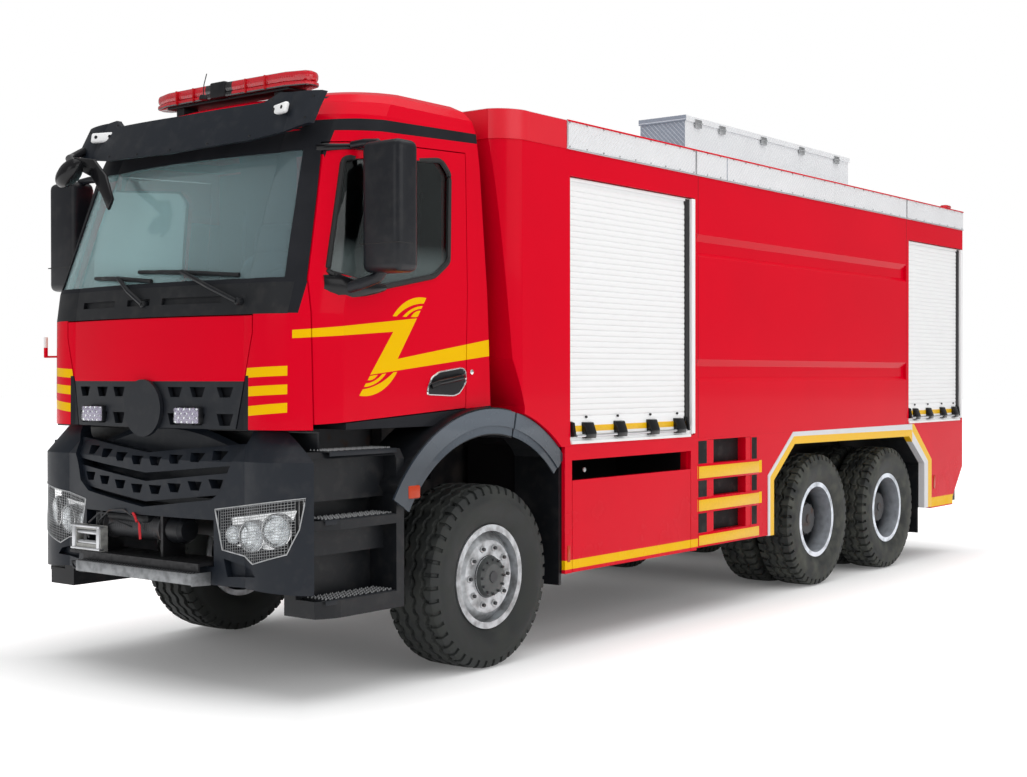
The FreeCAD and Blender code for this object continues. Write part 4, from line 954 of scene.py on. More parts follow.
# %% [markdown]
# ## Tyres
#
# The truck has wide single tyres in front and twin tyres behind. A tyre is a shape of
# revolution, so its section is drawn once and spun round the axle. The tread is then cut into
# it: groove points step left and right every two spin steps, which gives the zigzag, and one
# step in three is pushed in across each shoulder, which leaves a row of lugs. Spinning first
# keeps the tread perfectly in step with the tyre, where a bent flat strip would need stitching.

# %% Tyres
TYRE_STEPS = 132


def tyre(shape, centre, width, heavy_lugs):
    """One tyre about an axle centre. Heavy lugs suit the driven wheels."""
    half = width / 2
    profile = [(-0.74 * half, 0.288), (-0.80 * half, 0.302), (-0.93 * half, 0.345), (-0.99 * half, 0.392),
               (-1.0 * half, 0.425), (-0.985 * half, 0.447), (-0.975 * half, 0.450), (-0.95 * half, 0.476),
               (-0.90 * half, 0.507), (-0.84 * half, 0.519)]
    grooves = [(-0.42, 0.030), (0.0, 0.026), (0.42, 0.030)]
    if not heavy_lugs:
        grooves = [(-0.58, 0.032), (-0.20, 0.030), (0.20, 0.030), (0.58, 0.032)]
    zigzag = set()
    for middle, wide in grooves:
        for offset, depth in ((-wide / 2, 0.0), (-wide / 4, 0.018), (wide / 4, 0.018), (wide / 2, 0.0)):
            across = middle * half + offset
            crown = 0.527 - 0.005 * (across / half) ** 2
            zigzag.add(round(across, 4))
            profile.append((across, crown - depth))
    profile += [(-across, radius) for across, radius in reversed(profile[:10])]
    centre = Vector(centre)
    verts = turned(shape, centre, profile, TYRE_STEPS)
    step = math.tau / TYRE_STEPS
    swing = 0.009
    for vert in verts:
        place = vert.co - centre
        if round(place.y, 4) in zigzag and math.hypot(place.x, place.z) > 0.5:
            count = round(math.atan2(place.x, place.z) / step)
            vert.co.y += swing * (1, 1, -1, -1)[count % 4]
    lugs, notches = [], []
    for face in faces_of(verts):
        place = face.calc_center_median() - centre
        count = math.floor(math.atan2(place.x, place.z) / step)
        across, radius = abs(place.y) / half, math.hypot(place.x, place.z)
        if heavy_lugs and radius > 0.522 and 0.05 < across < 0.38 and count % 6 == 0:
            lugs.append(face)
        if 0.62 < across < 0.97 and radius > 0.478 and count % 3 == 0:
            notches.append(face)
    bmesh.ops.inset_individual(shape, faces=lugs, thickness=0.002, depth=-0.011, use_even_offset=True)
    bmesh.ops.inset_region(shape, faces=notches, thickness=0.003, depth=-0.016 if heavy_lugs else -0.011,
                           use_boundary=True, use_even_offset=True)


def middle_of(name):
    """The middle and the size of a CAD node's box."""
    low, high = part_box(name)
    return (low + high) / 2, high - low


for side, sign in (("left", 1), ("right", -1)):
    hub, size = middle_of(side + "_front_tyre")
    front = bmesh.new()
    tyre(front, (hub.x, hub.y, hub.z), size.y, False)
    made = settle(side + "_front_tread_tyre", front, rubber, side + "_front_wheel", 30.0)
    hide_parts(side + "_front_tyre")
    for place in ("middle", "rear"):
        hub, size = middle_of("%s_%s_tyres" % (side, place))
        pair = bmesh.new()
        for offset in (size.y / 2 - TWIN_WIDTH / 2, TWIN_WIDTH / 2 - size.y / 2):
            tyre(pair, (hub.x, hub.y + offset, hub.z), TWIN_WIDTH, True)
        made = settle("%s_%s_tread_tyres" % (side, place), pair, rubber, "%s_%s_wheels" % (side, place),
                      30.0)
        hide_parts("%s_%s_tyres" % (side, place))
print("tyre faces:", sum(len(piece.data.polygons) for piece in made_pieces))

# %% [markdown]
# ## Nuts, hubs and hub bolts
#
# Ten nuts hold each wheel. A nut is a six-sided cone with softened corners, on a washer, with
# the stud showing. One nut is made and then turned round the axle nine times, because a copy
# that is rotated about the axle can't drift off the bolt circle.

# %% Nuts and hubs
NUTS = 10


def around(shape, verts, centre, count):
    """Repeats part of the shape evenly round the Y axis through centre."""
    for turn in range(1, count):
        copy = copied(shape, verts)
        bmesh.ops.rotate(shape, cent=centre, matrix=Matrix.Rotation(math.tau * turn / count, 3, "Y"),
                         verts=verts_of(copy))


def wheel_fittings(name, body, hub, face, sign, driven):
    """Nuts, stud ends, hub and hub bolts. face is the disc's outer face, measured along Y."""
    shape = bmesh.new()
    out = Vector((0, sign, 0))
    ring = Vector((hub.x + 0.1675, face, hub.z))
    before = set(shape.verts)
    rod(shape, ring - out * 0.002, ring + out * 0.005, 0.037, sides=20, bevel=0.0015, material=1)
    rod(shape, ring + out * 0.004, ring + out * 0.030, 0.0225, sides=6, bevel=0.0025, material=0)
    rod(shape, ring + out * 0.028, ring + out * 0.044, 0.0105, sides=12, bevel=0.0015, material=1)
    around(shape, added(shape, before), Vector((hub.x, 0, hub.z)), NUTS)
    centre = Vector((hub.x, face, hub.z))
    reach, more = (0.205, 0.022) if driven else (0.055, 0.0)
    turned(shape, centre,
           [(0.0, 0.128 + more), (sign * 0.02, 0.126 + more), (sign * reach * 0.6, 0.118 + more),
            (sign * reach * 0.86, 0.112 + more), (sign * reach, 0.096 + more),
            (sign * (reach + 0.005), 0.050), (sign * (reach + 0.005), 0.036),
            (sign * (reach + 0.014), 0.032), (sign * (reach + 0.014), 0.0)], 48, material=1)
    before = set(shape.verts)
    bolt = Vector((hub.x, face + sign * reach * 0.9, hub.z + 0.098 + more))
    rod(shape, bolt, bolt + out * 0.022, 0.008, sides=6, bevel=0.001, material=1)
    around(shape, added(shape, before), Vector((hub.x, 0, hub.z)), 12)
    settle(name, shape, [zinc, casting], body)


for side, sign in (("left", 1), ("right", -1)):
    hub, size = middle_of(side + "_front_tyre")
    wheel_fittings(side + "_front_wheel_nuts", side + "_front_wheel", hub, sign * FRONT_DISC_FACE, sign,
                   False)
    for place in ("middle", "rear"):
        hub, size = middle_of("%s_%s_tyres" % (side, place))
        wheel_fittings("%s_%s_wheel_nuts" % (side, place), "%s_%s_wheels" % (side, place), hub,
                       sign * TWIN_DISC_FACE, sign, True)
print("pieces:", len(made_pieces))

# %% [markdown]
# ## Headlamps
#
# Behind each wire guard sit three round lamps on a bright reflector. A lamp is a bowl, a bulb
# cover and a thin lens, each a profile spun round an axis that points out of the panel.
# Modelling the bowl's real curve is worth it: it is what mirrors the light forward.

# %% Reflectors, bowls and lenses
bumper_skin = surface("front_bumper")
lamp_skin = surface("headlamps")
LAMP = [(0.554, 0.982), (1.095, 1.058), (1.085, 0.985), (1.072, 0.898), (1.020, 0.772), (0.821, 0.713),
        (0.752, 0.749), (0.603, 0.773)]
REFLECTOR = [(0.600, 0.935), (1.005, 0.990), (0.990, 0.890), (0.905, 0.785), (0.630, 0.790)]


def draped(shape, outline, pitch, height, thickness, material=0):
    """A thin sheet that follows a surface inside a convex outline of (y, z) corners."""
    before = set(shape.verts)
    left, right = min(corner[0] for corner in outline), max(corner[0] for corner in outline)
    columns = []
    for y in steps_between(left + 0.002, right - 0.002, pitch):
        low, high = span(outline, y)
        heights = [low + (high - low) * step / 6 for step in range(7)]
        columns.append([shape.verts.new((height(y, z), y, z)) for z in heights])
    faces = [shape.faces.new((first[row], second[row], second[row + 1], first[row + 1]))
             for first, second in zip(columns, columns[1:]) for row in range(6)]
    bmesh.ops.recalc_face_normals(shape, faces=faces)
    pushed = bmesh.ops.extrude_face_region(shape, geom=faces)["geom"]
    bmesh.ops.translate(shape, vec=(thickness, 0, 0), verts=verts_of(pushed))
    verts = added(shape, before)
    bmesh.ops.recalc_face_normals(shape, faces=faces_of(verts))
    paint_faces(verts, material)


def bowl(shape, y, z, radius, turn):
    """A round lamp whose axis is turned outwards from straight ahead."""
    centre = Vector((front_x(lamp_skin, y, z), y, z))
    axis = (math.cos(turn), math.sin(turn), 0)
    deep = [(0.004, 0.0), (0.004, 0.26), (0.010, 0.58), (0.022, 0.84), (0.032, 0.94), (0.035, 0.98),
            (0.032, 1.03), (0.0, 1.04)]
    bulb = [(0.005, 0.30), (0.022, 0.27), (0.029, 0.15), (0.031, 0.0)]
    lens = [(0.030, 0.0), (0.030, 0.93), (0.033, 0.94), (0.038, 0.7), (0.042, 0.35), (0.043, 0.0)]
    for profile, steps, material in ((deep, 40, 0), (bulb, 24, 0), (lens, 40, 1)):
        turned(shape, centre, [(offset, radius * part) for offset, part in profile], steps, material, axis)


shape = bmesh.new()
draped(shape, REFLECTOR, 0.035, lambda y, z: front_x(lamp_skin, y, z) + 0.001, 0.003)
for y, z, radius, turn in ((0.640, 0.850, 0.050, 0.10), (0.778, 0.850, 0.082, 0.16),
                           (0.925, 0.886, 0.086, 0.30)):
    bowl(shape, y, z, radius, turn)
both_sides(shape)
settle("headlamp_units", shape, [chrome, lamp_glass], "root")

# %% [markdown]
# The guard is a net of thin wires just in front of the lamps. It could be one flat mesh with
# holes, but real wires cross at the bumper's curve, so each wire is a bar bent along it.

# %% Wire guards
def nose_x(y):
    """The bumper's front face, read on the plain strip below the lamps."""
    return front_x(bumper_skin, y, 0.612)


net = bmesh.new()
for y in steps_between(0.575, 1.085, 0.0155):
    low, high = span(LAMP, y)
    if high - low > 0.02:
        wire(net, [(nose_x(y) - 0.004, y, low + 0.003), (nose_x(y) - 0.004, y, high - 0.003)], 0.0012, 4)
for start in steps_between(0.640, 1.048, 0.0145):
    along = [(nose_x(y) - 0.002, y, start + 0.14 * (y - 0.56)) for y in steps_between(0.557, 1.092, 0.036)]
    along = [place for place in along if span(LAMP, place[1])[0] < place[2] < span(LAMP, place[1])[1]]
    if len(along) > 1:
        wire(net, along, 0.0012, 4)
rim = []
for (y0, z0), (y1, z1) in zip(LAMP, LAMP[1:] + LAMP[:1]):
    count = max(2, round(math.hypot(y1 - y0, z1 - z0) / 0.04))
    rim += [(nose_x(y0 + (y1 - y0) * step / count) - 0.001, y0 + (y1 - y0) * step / count,
             z0 + (z1 - z0) * step / count) for step in range(count)]
wire(net, rim + rim[:1], 0.004, 6)
both_sides(net)
settle("headlamp_guards", net, zinc, "root")
print("guard faces:", len(made_pieces[-1].data.polygons))

# %% [markdown]
# ## Warning lamps on the grille
#
# Two rounded lamps flash from the grille. Each is a black tray, rows of small domes and a clear
# cover with soft corners. They sit on the service flap and lift with it.

# %% Grille lamps
grille_skin = surface("grille")
shape = bmesh.new()
for left, right in ((0.258, 0.452), (-0.545, -0.372)):
    probes = [left + (right - left) * part for part in (0.05, 0.3, 0.5, 0.7, 0.95)]
    face = max(front_x(grille_skin, y, z, 4.30) for y in probes for z in (1.425, 1.468, 1.512))
    box(shape, (face - 0.030, left, 1.424), (face + 0.004, right, 1.514), 0.006, 0)
    box(shape, (face - 0.005, left + 0.006, 1.430), (face + 0.006, right - 0.006, 1.508), 0.003, 4)
    for column in range(8):
        for row in range(4):
            y = left + 0.018 + (right - left - 0.036) * column / 7
            turned(shape, (face + 0.0055, y, 1.437 + 0.0213 * row),
                   [(0.0, 0.0085), (0.005, 0.007), (0.008, 0.0)], 8, 1 + (column + row) % 2, (1, 0, 0))
    box(shape, (face + 0.004, left + 0.004, 1.428), (face + 0.024, right - 0.004, 1.510), 0.009, 3, 3)
settle("grille_lamps", shape, [black_plastic, chrome, frosted_lens, lamp_glass, frosted_lens],
       "service_flap")

# %% [markdown]
# ## Panel behind the bumper
#
# A dark valance closes the gap between the cab's floor and the bumper, as on the real truck,
# where it keeps spray out of the engine bay. It is a plain pressed sheet with a folded lip.

# %% Valance
shape = bmesh.new()
plate(shape, [(4.020, -1.06, 1.10), (4.020, -1.06, 1.396), (4.118, -1.06, 1.396), (4.118, -1.06, 1.386),
              (4.034, -1.06, 1.380), (4.034, -1.06, 1.10)], (0, 2.12, 0), 0.003)
settle("front_valance", shape, black_plastic, "root")

# %% [markdown]
# ## Winch, fairlead and front step
#
# The winch's cable runs from its drum through four rollers. The rollers turn the cable without wearing it.
# The cable is a bent bar with a slight sag, and the red strap is a flat band that is used to pull the hook.
# The step in front is a folded channel with rows of round holes, drawn as black discs that paint the shade
# seen through them.

# %% Winch drum, motor, rollers and strap
shape = bmesh.new()
drum = [(0.0, 0.030), (0.0, 0.078), (0.012, 0.080), (0.014, 0.062), (0.030, 0.062)]
for coil in range(22):
    drum += [(0.030 + coil * 0.018, 0.062), (0.039 + coil * 0.018, 0.068)]
drum += [(0.470, 0.062), (0.472, 0.080), (0.486, 0.078), (0.486, 0.030)]
turned(shape, (4.225, -0.372, 0.850), drum, 28, 0)
turned(shape, (4.225, 0.155, 0.850), [(0.0, 0.0), (0.0, 0.068), (0.02, 0.074), (0.10, 0.074), (0.115, 0.060),
                                      (0.125, 0.058), (0.130, 0.0)], 28, 1)
box(shape, (4.165, -0.445, 0.790), (4.300, -0.402, 0.920), 0.012, 1)
box(shape, (4.170, -0.340, 0.880), (4.300, 0.020, 0.921), 0.014, 1)
for y in (-0.545, -0.325):
    rod(shape, (4.366, y, 0.722), (4.366, y, 0.842), 0.014, sides=18, bevel=0.002, material=2)
for z in (0.750, 0.806):
    rod(shape, (4.352, -0.520, z), (4.352, -0.350, z), 0.013, sides=18, bevel=0.002, material=2)
for z in (0.716, 0.840):
    box(shape, (4.346, -0.566, z - 0.006), (4.379, -0.304, z + 0.006), 0.002, 2)
wire(shape, [(4.27, -0.30, 0.905), (4.32, -0.38, 0.915), (4.345, -0.44, 0.86), (4.352, -0.445, 0.80),
             (4.345, -0.44, 0.775)], 0.006, 8, 0)
wire(shape, [(4.28, -0.42, 0.80), (4.315, -0.39, 0.87), (4.33, -0.28, 0.935), (4.325, -0.16, 0.945),
             (4.30, -0.08, 0.90), (4.28, -0.03, 0.87)], 0.005, 8, 0)
wire(shape, [(4.27, -0.36, 0.78), (4.32, -0.33, 0.84), (4.325, -0.22, 0.88), (4.30, -0.12, 0.85)], 0.004, 8,
     1)
plate(shape, [(4.322, -0.030, 0.888), (4.330, -0.002, 0.872), (4.334, 0.012, 0.795), (4.330, -0.012, 0.790),
              (4.322, -0.030, 0.850)], (0.004, 0, 0), 0.001, 3)
wire(shape, [(4.325, -0.075, 0.930), (4.330, -0.055, 0.920), (4.334, -0.03, 0.885)], 0.007, 8, 3)
settle("winch_gear", shape, [casting, black_plastic, satin_aluminium, red_strap], "root")

# %% Perforated step and tow loop
shape = bmesh.new()
box(shape, (4.379, -0.447, 0.652), (4.428, 0.534, 0.657), 0.0015, 0)
box(shape, (4.424, -0.447, 0.598), (4.429, 0.534, 0.656), 0.0015, 0)
plate(shape, [(4.428, 0.534, 0.656), (4.428, 0.534, 0.592), (4.300, 0.534, 0.585), (4.300, 0.534, 0.656)],
      (0, 0.004, 0), 0.001, 0)
# Painted shade: each hole is a black disc that stands for the shade seen through it.
for row, x in enumerate((4.390, 4.404, 4.418)):
    for hole in range(46):
        y = -0.430 + 0.021 * hole + 0.0105 * (row % 2)
        turned(shape, (x, y, 0.6569), [(0.0, 0.0), (0.0, 0.0040), (0.0018, 0.0048), (0.0, 0.0058)], 8, 1,
               (0, 0, 1))
wire(shape, [(4.30, -0.37, 0.665), (4.345, -0.40, 0.652), (4.362, -0.50, 0.640), (4.366, -0.565, 0.632),
             (4.364, -0.560, 0.606), (4.360, -0.50, 0.585), (4.345, -0.40, 0.590), (4.30, -0.36, 0.60)],
     0.0075, 10, 2)
settle("front_step", shape, [step_zinc, black_plastic, black_plastic], "root")

# %% [markdown]
# ## Wipers
#
# Two wipers rest on the windscreen's lower edge. Each has a stout arm, a bridge and a rubber
# blade. Points along the glass are found with rays, so the blade follows the curved screen.

# %% Wipers
glass_skin = surface("windscreen", "wiper_cowl")
shape = bmesh.new()


def on_screen(y, z, lift):
    """A point on the glass, or lift metres in front of it."""
    return Vector((front_x(glass_skin, y, z, 4.25) + lift, y, z))


for foot, left, right in (((-0.030, 2.070), (-0.560, 2.236), (0.010, 2.196)),
                          ((0.690, 2.066), (-0.125, 2.252), (0.655, 2.206))):
    base = on_screen(*foot, 0.0)
    rod(shape, base - Vector((0.02, 0, 0)), base + Vector((0.035, 0, 0.0)), 0.024, 0.018, sides=20,
        bevel=0.004)
    blade = []
    for step in range(9):
        part = step / 8
        sag = 0.008 * part * (1 - part)
        blade.append(on_screen(left[0] + (right[0] - left[0]) * part,
                               left[1] + (right[1] - left[1]) * part + sag, 0.012))
    wire(shape, blade, 0.0115, 6, 0)
    wire(shape, [point + Vector((-0.008, 0, -0.004)) for point in blade], 0.005, 4, 1)
    bridge = [blade[1], blade[2] + Vector((0.014, 0, 0.004)), blade[4] + Vector((0.022, 0, 0.006)),
              blade[6] + Vector((0.014, 0, 0.004)), blade[7]]
    wire(shape, bridge, 0.009, 6, 0)
    hold = blade[4] + Vector((0.022, 0, 0.006))
    start = base + Vector((0.030, 0, 0.0))
    middle = start.lerp(hold, 0.45) + Vector((0.020, 0, 0.004))
    plate(shape, [start + Vector((0.0, -0.018, 0.012)), start + Vector((0.0, 0.018, -0.010)),
                  middle + Vector((0.0, 0.014, 0.0)), middle + Vector((0.0, -0.014, 0.0))], (0.010, 0, 0),
          0.003, 0)
    wire(shape, [start, middle, hold], 0.0125, 8, 0)
settle("wipers", shape, [black_plastic, seal_rubber], "root")

# %% [markdown]
# ## Sun visor fittings and front mirror
#
# The visor carries a marker lamp at each end and small dark screws. A curved arm at its right
# end holds a mirror that shows the ground in front of the bumper. The mirror's shell is a
# flattened spun dome with its glass on the rear side.

# %% Visor lamps, screws and front mirror
visor_skin = surface("sun_visor")
shape = bmesh.new()
for y in (0.755, -0.755):
    turn = Matrix.Rotation(-0.32 if y > 0 else 0.32, 3, "Z") @ Matrix.Rotation(-0.22, 3, "Y")
    verts = box(shape, (-0.006, -0.086, -0.030), (0.022, 0.086, 0.030), 0.012, 0, 3)
    for place in (-0.048, 0.048):
        verts += rod(shape, (0.018, place, 0.0), (0.026, place, 0.0), 0.010, sides=14, bevel=0.001,
                     material=1)
    bmesh.ops.rotate(shape, cent=(0, 0, 0), matrix=turn, verts=verts)
    bmesh.ops.translate(shape, vec=(front_x(visor_skin, y, 3.085, 4.0), y, 3.085), verts=verts)
for y, z in ((0.0, 2.925), (0.30, 2.932), (-0.30, 2.932), (0.60, 2.950), (-0.60, 2.950), (0.66, 3.15),
             (-0.66, 3.15), (0.95, 3.14), (-0.95, 3.14), (0.95, 3.02), (-0.95, 3.02)):
    x = front_x(visor_skin, y, z, 4.1)
    turned(shape, (x - 0.002, y, z), [(0.0, 0.009), (0.003, 0.009), (0.005, 0.006), (0.006, 0.0)], 12, 1,
           (1, 0, 0))
settle("visor_fittings", shape, [white_coat, black_plastic], "root")

shape = bmesh.new()
arm = [(4.02, -0.93, 3.02), (4.16, -0.84, 2.96), (4.28, -0.70, 2.925), (4.33, -0.60, 2.885)]
wire(shape, arm, 0.024, 12, 0)
plate(shape, [(4.27, -0.66, 2.93), (4.275, -0.46, 2.90), (4.285, -0.34, 2.80), (4.290, -0.27, 2.66),
              (4.290, -0.31, 2.60), (4.285, -0.38, 2.70), (4.28, -0.47, 2.80), (4.275, -0.62, 2.86)],
      (0.022, 0, 0), 0.006, 0)
before = set(shape.verts)
turned(shape, (0, 0, 0),
       [(0.0, 0.0), (0.004, 0.085), (0.012, 0.098), (0.040, 0.092), (0.070, 0.066), (0.086, 0.030),
        (0.090, 0.0)], 32, 0, (1, 0, 0))
turned(shape, (-0.001, 0, 0), [(0.0, 0.0), (0.0, 0.082), (0.003, 0.082)], 32, 1, (1, 0, 0))
head = added(shape, before)
bmesh.ops.scale(shape, vec=(1.0, 1.15, 0.62), verts=head)
bmesh.ops.rotate(shape, cent=(0, 0, 0), matrix=Matrix.Rotation(0.55, 3, "X") @ Matrix.Rotation(0.75, 3, "Y"),
                 verts=head)
bmesh.ops.translate(shape, vec=(4.345, -0.600, 2.835), verts=head)
settle("front_mirror", shape, [gloss_black, mirror_face], "root")

# %% [markdown]
# ## Door mirrors
#
# The CAD mirrors are plain housings. These have generous rounded edges, a split line where the
# shell's two halves meet, two mirror glasses behind and two bent arms. They turn with the
# doors.

# %% Door mirrors
for side, sign in (("left", 1), ("right", -1)):
    shape = bmesh.new()
    box(shape, (3.722, 1.222, 2.208), (3.886, 1.487, 2.884), 0.040, 0, 4)
    box(shape, (3.716, 1.250, 2.480), (3.728, 1.462, 2.850), 0.010, 1, 3)
    box(shape, (3.716, 1.250, 2.240), (3.728, 1.462, 2.450), 0.010, 1, 3)
    box(shape, (3.776, 1.2205, 2.352), (3.8875, 1.4885, 2.358), 0.002, 2, 2)
    wire(shape, [(3.905, 1.135, 2.130), (3.875, 1.205, 2.150), (3.825, 1.285, 2.185),
                 (3.805, 1.330, 2.250)], 0.030, 12, 0)
    wire(shape, [(3.800, 1.085, 2.890), (3.800, 1.170, 2.893), (3.802, 1.265, 2.885),
                 (3.804, 1.300, 2.850)], 0.022, 12, 0)
    if sign < 0:
        to_right(shape)
    made = settle(side + "_mirror_housing", shape, [mirror_plastic, mirror_face, seal_rubber],
                  side + "_cab_door")
    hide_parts(side + "_mirror")

# %% [markdown]
# ## Doors: handles, window seals and mirror feet
#
# A door handle is a dark cup with a bright rim and a grip across it. The window's rubber seal
# is a bar bent round the opening, and each mirror arm stands on a crowned pad. All of it rides
# on the door.

# %% Door fittings
door_skin = surface("left_door", "cab_shell", "left_door_glass")
HANDLE = [(3.288, 1.575), (3.285, 1.607), (3.250, 1.669), (3.185, 1.700), (2.997, 1.723), (2.966, 1.712),
          (2.956, 1.645), (3.016, 1.581), (3.065, 1.566)]
WINDOW = [(3.998, 2.212), (3.828, 2.818), (3.142, 2.876), (3.074, 2.807), (3.104, 2.316), (3.222, 2.233),
          (3.629, 2.156)]


def on_door(x, z, lift=0.0):
    """A point on the left door's skin, or lift metres outside it."""
    return Vector((x, side_y(door_skin, x, z) + lift, z))


def rounded(corners, reach, steps=4):
    """Cuts each corner of an outline into a short curve."""
    points = []
    for before, corner, after in zip(corners[-1:] + corners[:-1], corners, corners[1:] + corners[:1]):
        here = Vector(corner)
        start = here + (Vector(before) - here).normalized() * reach
        end = here + (Vector(after) - here).normalized() * reach
        for step in range(steps + 1):
            part = step / steps
            points.append(start.lerp(here, part).lerp(here.lerp(end, part), part))
    return points


BULGE = (0, 0.75, 0.95, 1, 0.95, 0.75, 0)
LOWER_FOOT = [(4.030, 2.110, 2.196), (3.960, 2.088, 2.204), (3.870, 2.080, 2.196), (3.780, 2.090, 2.186),
              (3.700, 2.106, 2.178), (3.635, 2.124, 2.168), (3.600, 2.142, 2.160)]
UPPER_FOOT = [(3.915, 2.862, 2.892), (3.890, 2.856, 2.898), (3.720, 2.866, 2.912), (3.620, 2.872, 2.916),
              (3.590, 2.880, 2.910)]


def door_pad(shape, stations, lift, material):
    """A crowned pad that follows the door's skin. Each station is (x, lowest z, highest z)."""
    rows = []
    for place, (x, low, high) in enumerate(stations):
        ends = 0.25 if place in (0, len(stations) - 1) else 1.0
        heights = [low + (high - low) * step / 6 for step in range(7)]
        skin = max(side_y(door_skin, x, z) for z in heights[:2])
        rows.append([shape.verts.new((x, skin - 0.006 + lift * ends * BULGE[step], z))
                     for step, z in enumerate(heights)])
    for first, second in zip(rows, rows[1:]):
        for corner in range(6):
            face = shape.faces.new((first[corner], second[corner], second[corner + 1], first[corner + 1]))
            face.material_index = material


for side, sign in (("left", 1), ("right", -1)):
    shape = bmesh.new()
    ring = [on_door(x, z, 0.003) for x, z in rounded(HANDLE, 0.014, 2)]
    plate(shape, [point - Vector((0, 0.012, 0)) for point in ring], (0, 0.011, 0), 0.0, 0)
    wire(shape, ring + ring[:1], 0.0055, 6, 1)
    grip = [on_door(3.262, 1.622, 0.010), on_door(3.22, 1.640, 0.030), on_door(3.12, 1.655, 0.034),
            on_door(3.02, 1.668, 0.026), on_door(2.985, 1.674, 0.008)]
    wire(shape, grip, 0.017, 10, 2)
    rod(shape, on_door(2.905, 1.700, -0.004), on_door(2.905, 1.700, 0.006), 0.015, sides=20, bevel=0.002,
        material=1)
    seal = [on_door(x, z, 0.002) for x, z in rounded(WINDOW, 0.030, 3)]
    centre = sum(seal, Vector()) / len(seal)
    around_window = []
    for point in seal:
        probes = [centre + (point - centre) * factor for factor in (1.014, 1.035)]
        edge = max(side_y(door_skin, probe.x, probe.z) for probe in probes)
        around_window.append(Vector((probes[0].x, edge, probes[0].z)))
    wire(shape, around_window + around_window[:1], 0.015, 6, 3)
    door_pad(shape, LOWER_FOOT, 0.026, 2)
    door_pad(shape, UPPER_FOOT, 0.030, 2)
    if sign < 0:
        to_right(shape)
    settle(side + "_door_fittings", shape, [black_plastic, chrome, gloss_black, seal_rubber],
           side + "_cab_door")

# %% [markdown]
# ## Light bar and aerial
#
# The light bar is one long red cover with rounded ends and thin ribs. It stands on dark clamps,
# with a short aerial in front. The marker rod on the right front corner helps the driver to
# judge the truck's width.

# %% Light bar clamps, aerial, marker rod and roof lamp
shape = bmesh.new()
plan = [(3.560, -0.500), (3.600, -0.635), (3.655, -0.655), (3.705, -0.635), (3.745, -0.500), (3.755, 0.0),
        (3.745, 0.500), (3.705, 0.635), (3.655, 0.655), (3.600, 0.635), (3.560, 0.500), (3.550, 0.0)]
lid = [Vector((x, y, 3.300)) for x, y in plan]
plate(shape, lid, (0, 0, 0.062), 0.022, 0)
plate(shape, [point - Vector((0, 0, 0.026)) for point in lid], (0, 0, 0.030), 0.010, 0)
for y in (-0.40, -0.25, 0.20, 0.36):
    box(shape, (3.735, y - 0.004, 3.278), (3.7585, y + 0.004, 3.356), 0.001, 1)
cover = settle("light_bar_cover", shape, [red_dome, red_lens_solid], "root")
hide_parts("light_bar")
shape = bmesh.new()
for y in (-0.42, 0.42):
    box(shape, (3.600, y - 0.035, 3.215), (3.710, y + 0.035, 3.280), 0.006, 0)
box(shape, (3.580, -0.520, 3.262), (3.725, 0.520, 3.276), 0.004, 0)
box(shape, (3.545, -0.098, 3.272), (3.762, 0.030, 3.366), 0.012, 0, 3)
rod(shape, (3.905, 0.02, 3.235), (3.905, 0.02, 3.262), 0.026, 0.018, sides=20, bevel=0.003, material=0)
wire(shape, [(3.905, 0.02, 3.26), (3.90, 0.02, 3.32), (3.88, 0.02, 3.385)], 0.003, 6, 0)
settle("light_bar_fittings", shape, black_plastic, "root")

shape = bmesh.new()
wire(shape, [(3.960, -1.150, 1.800), (4.02, -1.16, 1.797), (4.115, -1.192, 1.795)], 0.006, 8, 0)
rod(shape, (4.115, -1.180, 1.790), (4.115, -1.180, 1.850), 0.012, sides=14, bevel=0.002, material=0)
rod(shape, (4.115, -1.180, 1.850), (4.115, -1.180, 1.914), 0.012, sides=14, bevel=0.002, material=1)
box(shape, (3.930, -1.165, 1.780), (3.975, -1.145, 1.820), 0.004, 2)
settle("marker_rod", shape, [plain_red, white_coat, black_plastic], "root")

shape = bmesh.new()
for sign in (1, -1):
    box(shape, (-4.16, sign * 1.17 - 0.045, 3.232), (-4.02, sign * 1.17 + 0.045, 3.250), 0.004, 0)
    box(shape, (-4.145, sign * 1.17 - 0.036, 3.250), (-4.035, sign * 1.17 + 0.036, 3.285), 0.014, 1, 3)
settle("roof_lamps", shape, [black_plastic, red_lens], "root")

# %% [markdown]
# ## Roller shutters
#
# A roller shutter is a curtain of slats that hook into each other, so it can wind up round a
# drum. One slat has a shallow crown and a groove at each edge, and its profile is drawn once and
# pushed along the slat. The curtain hangs between two rubber seals in a pale frame, and a lift
# bar with a yellow stripe closes it at the bottom.

# %% Slats, seals and lift bars
PITCH = 0.0355


def slats(shape, corner, along, outward, top):
    """Slats from corner upwards. along spans their length and outward is a unit vector."""
    corner, along, outward = Vector(corner), Vector(along), Vector(outward)
    while corner.z + PITCH < top:
        profile = [(0.0020, 0.0004), (0.0045, 0.003), (0.0065, PITCH * 0.3), (0.0065, PITCH * 0.7),
                   (0.0045, PITCH - 0.003), (0.0020, PITCH - 0.0004)]
        plate(shape, [corner + outward * out + Vector((0, 0, up)) for out, up in profile], along, 0.0, 0)
        corner.z += PITCH


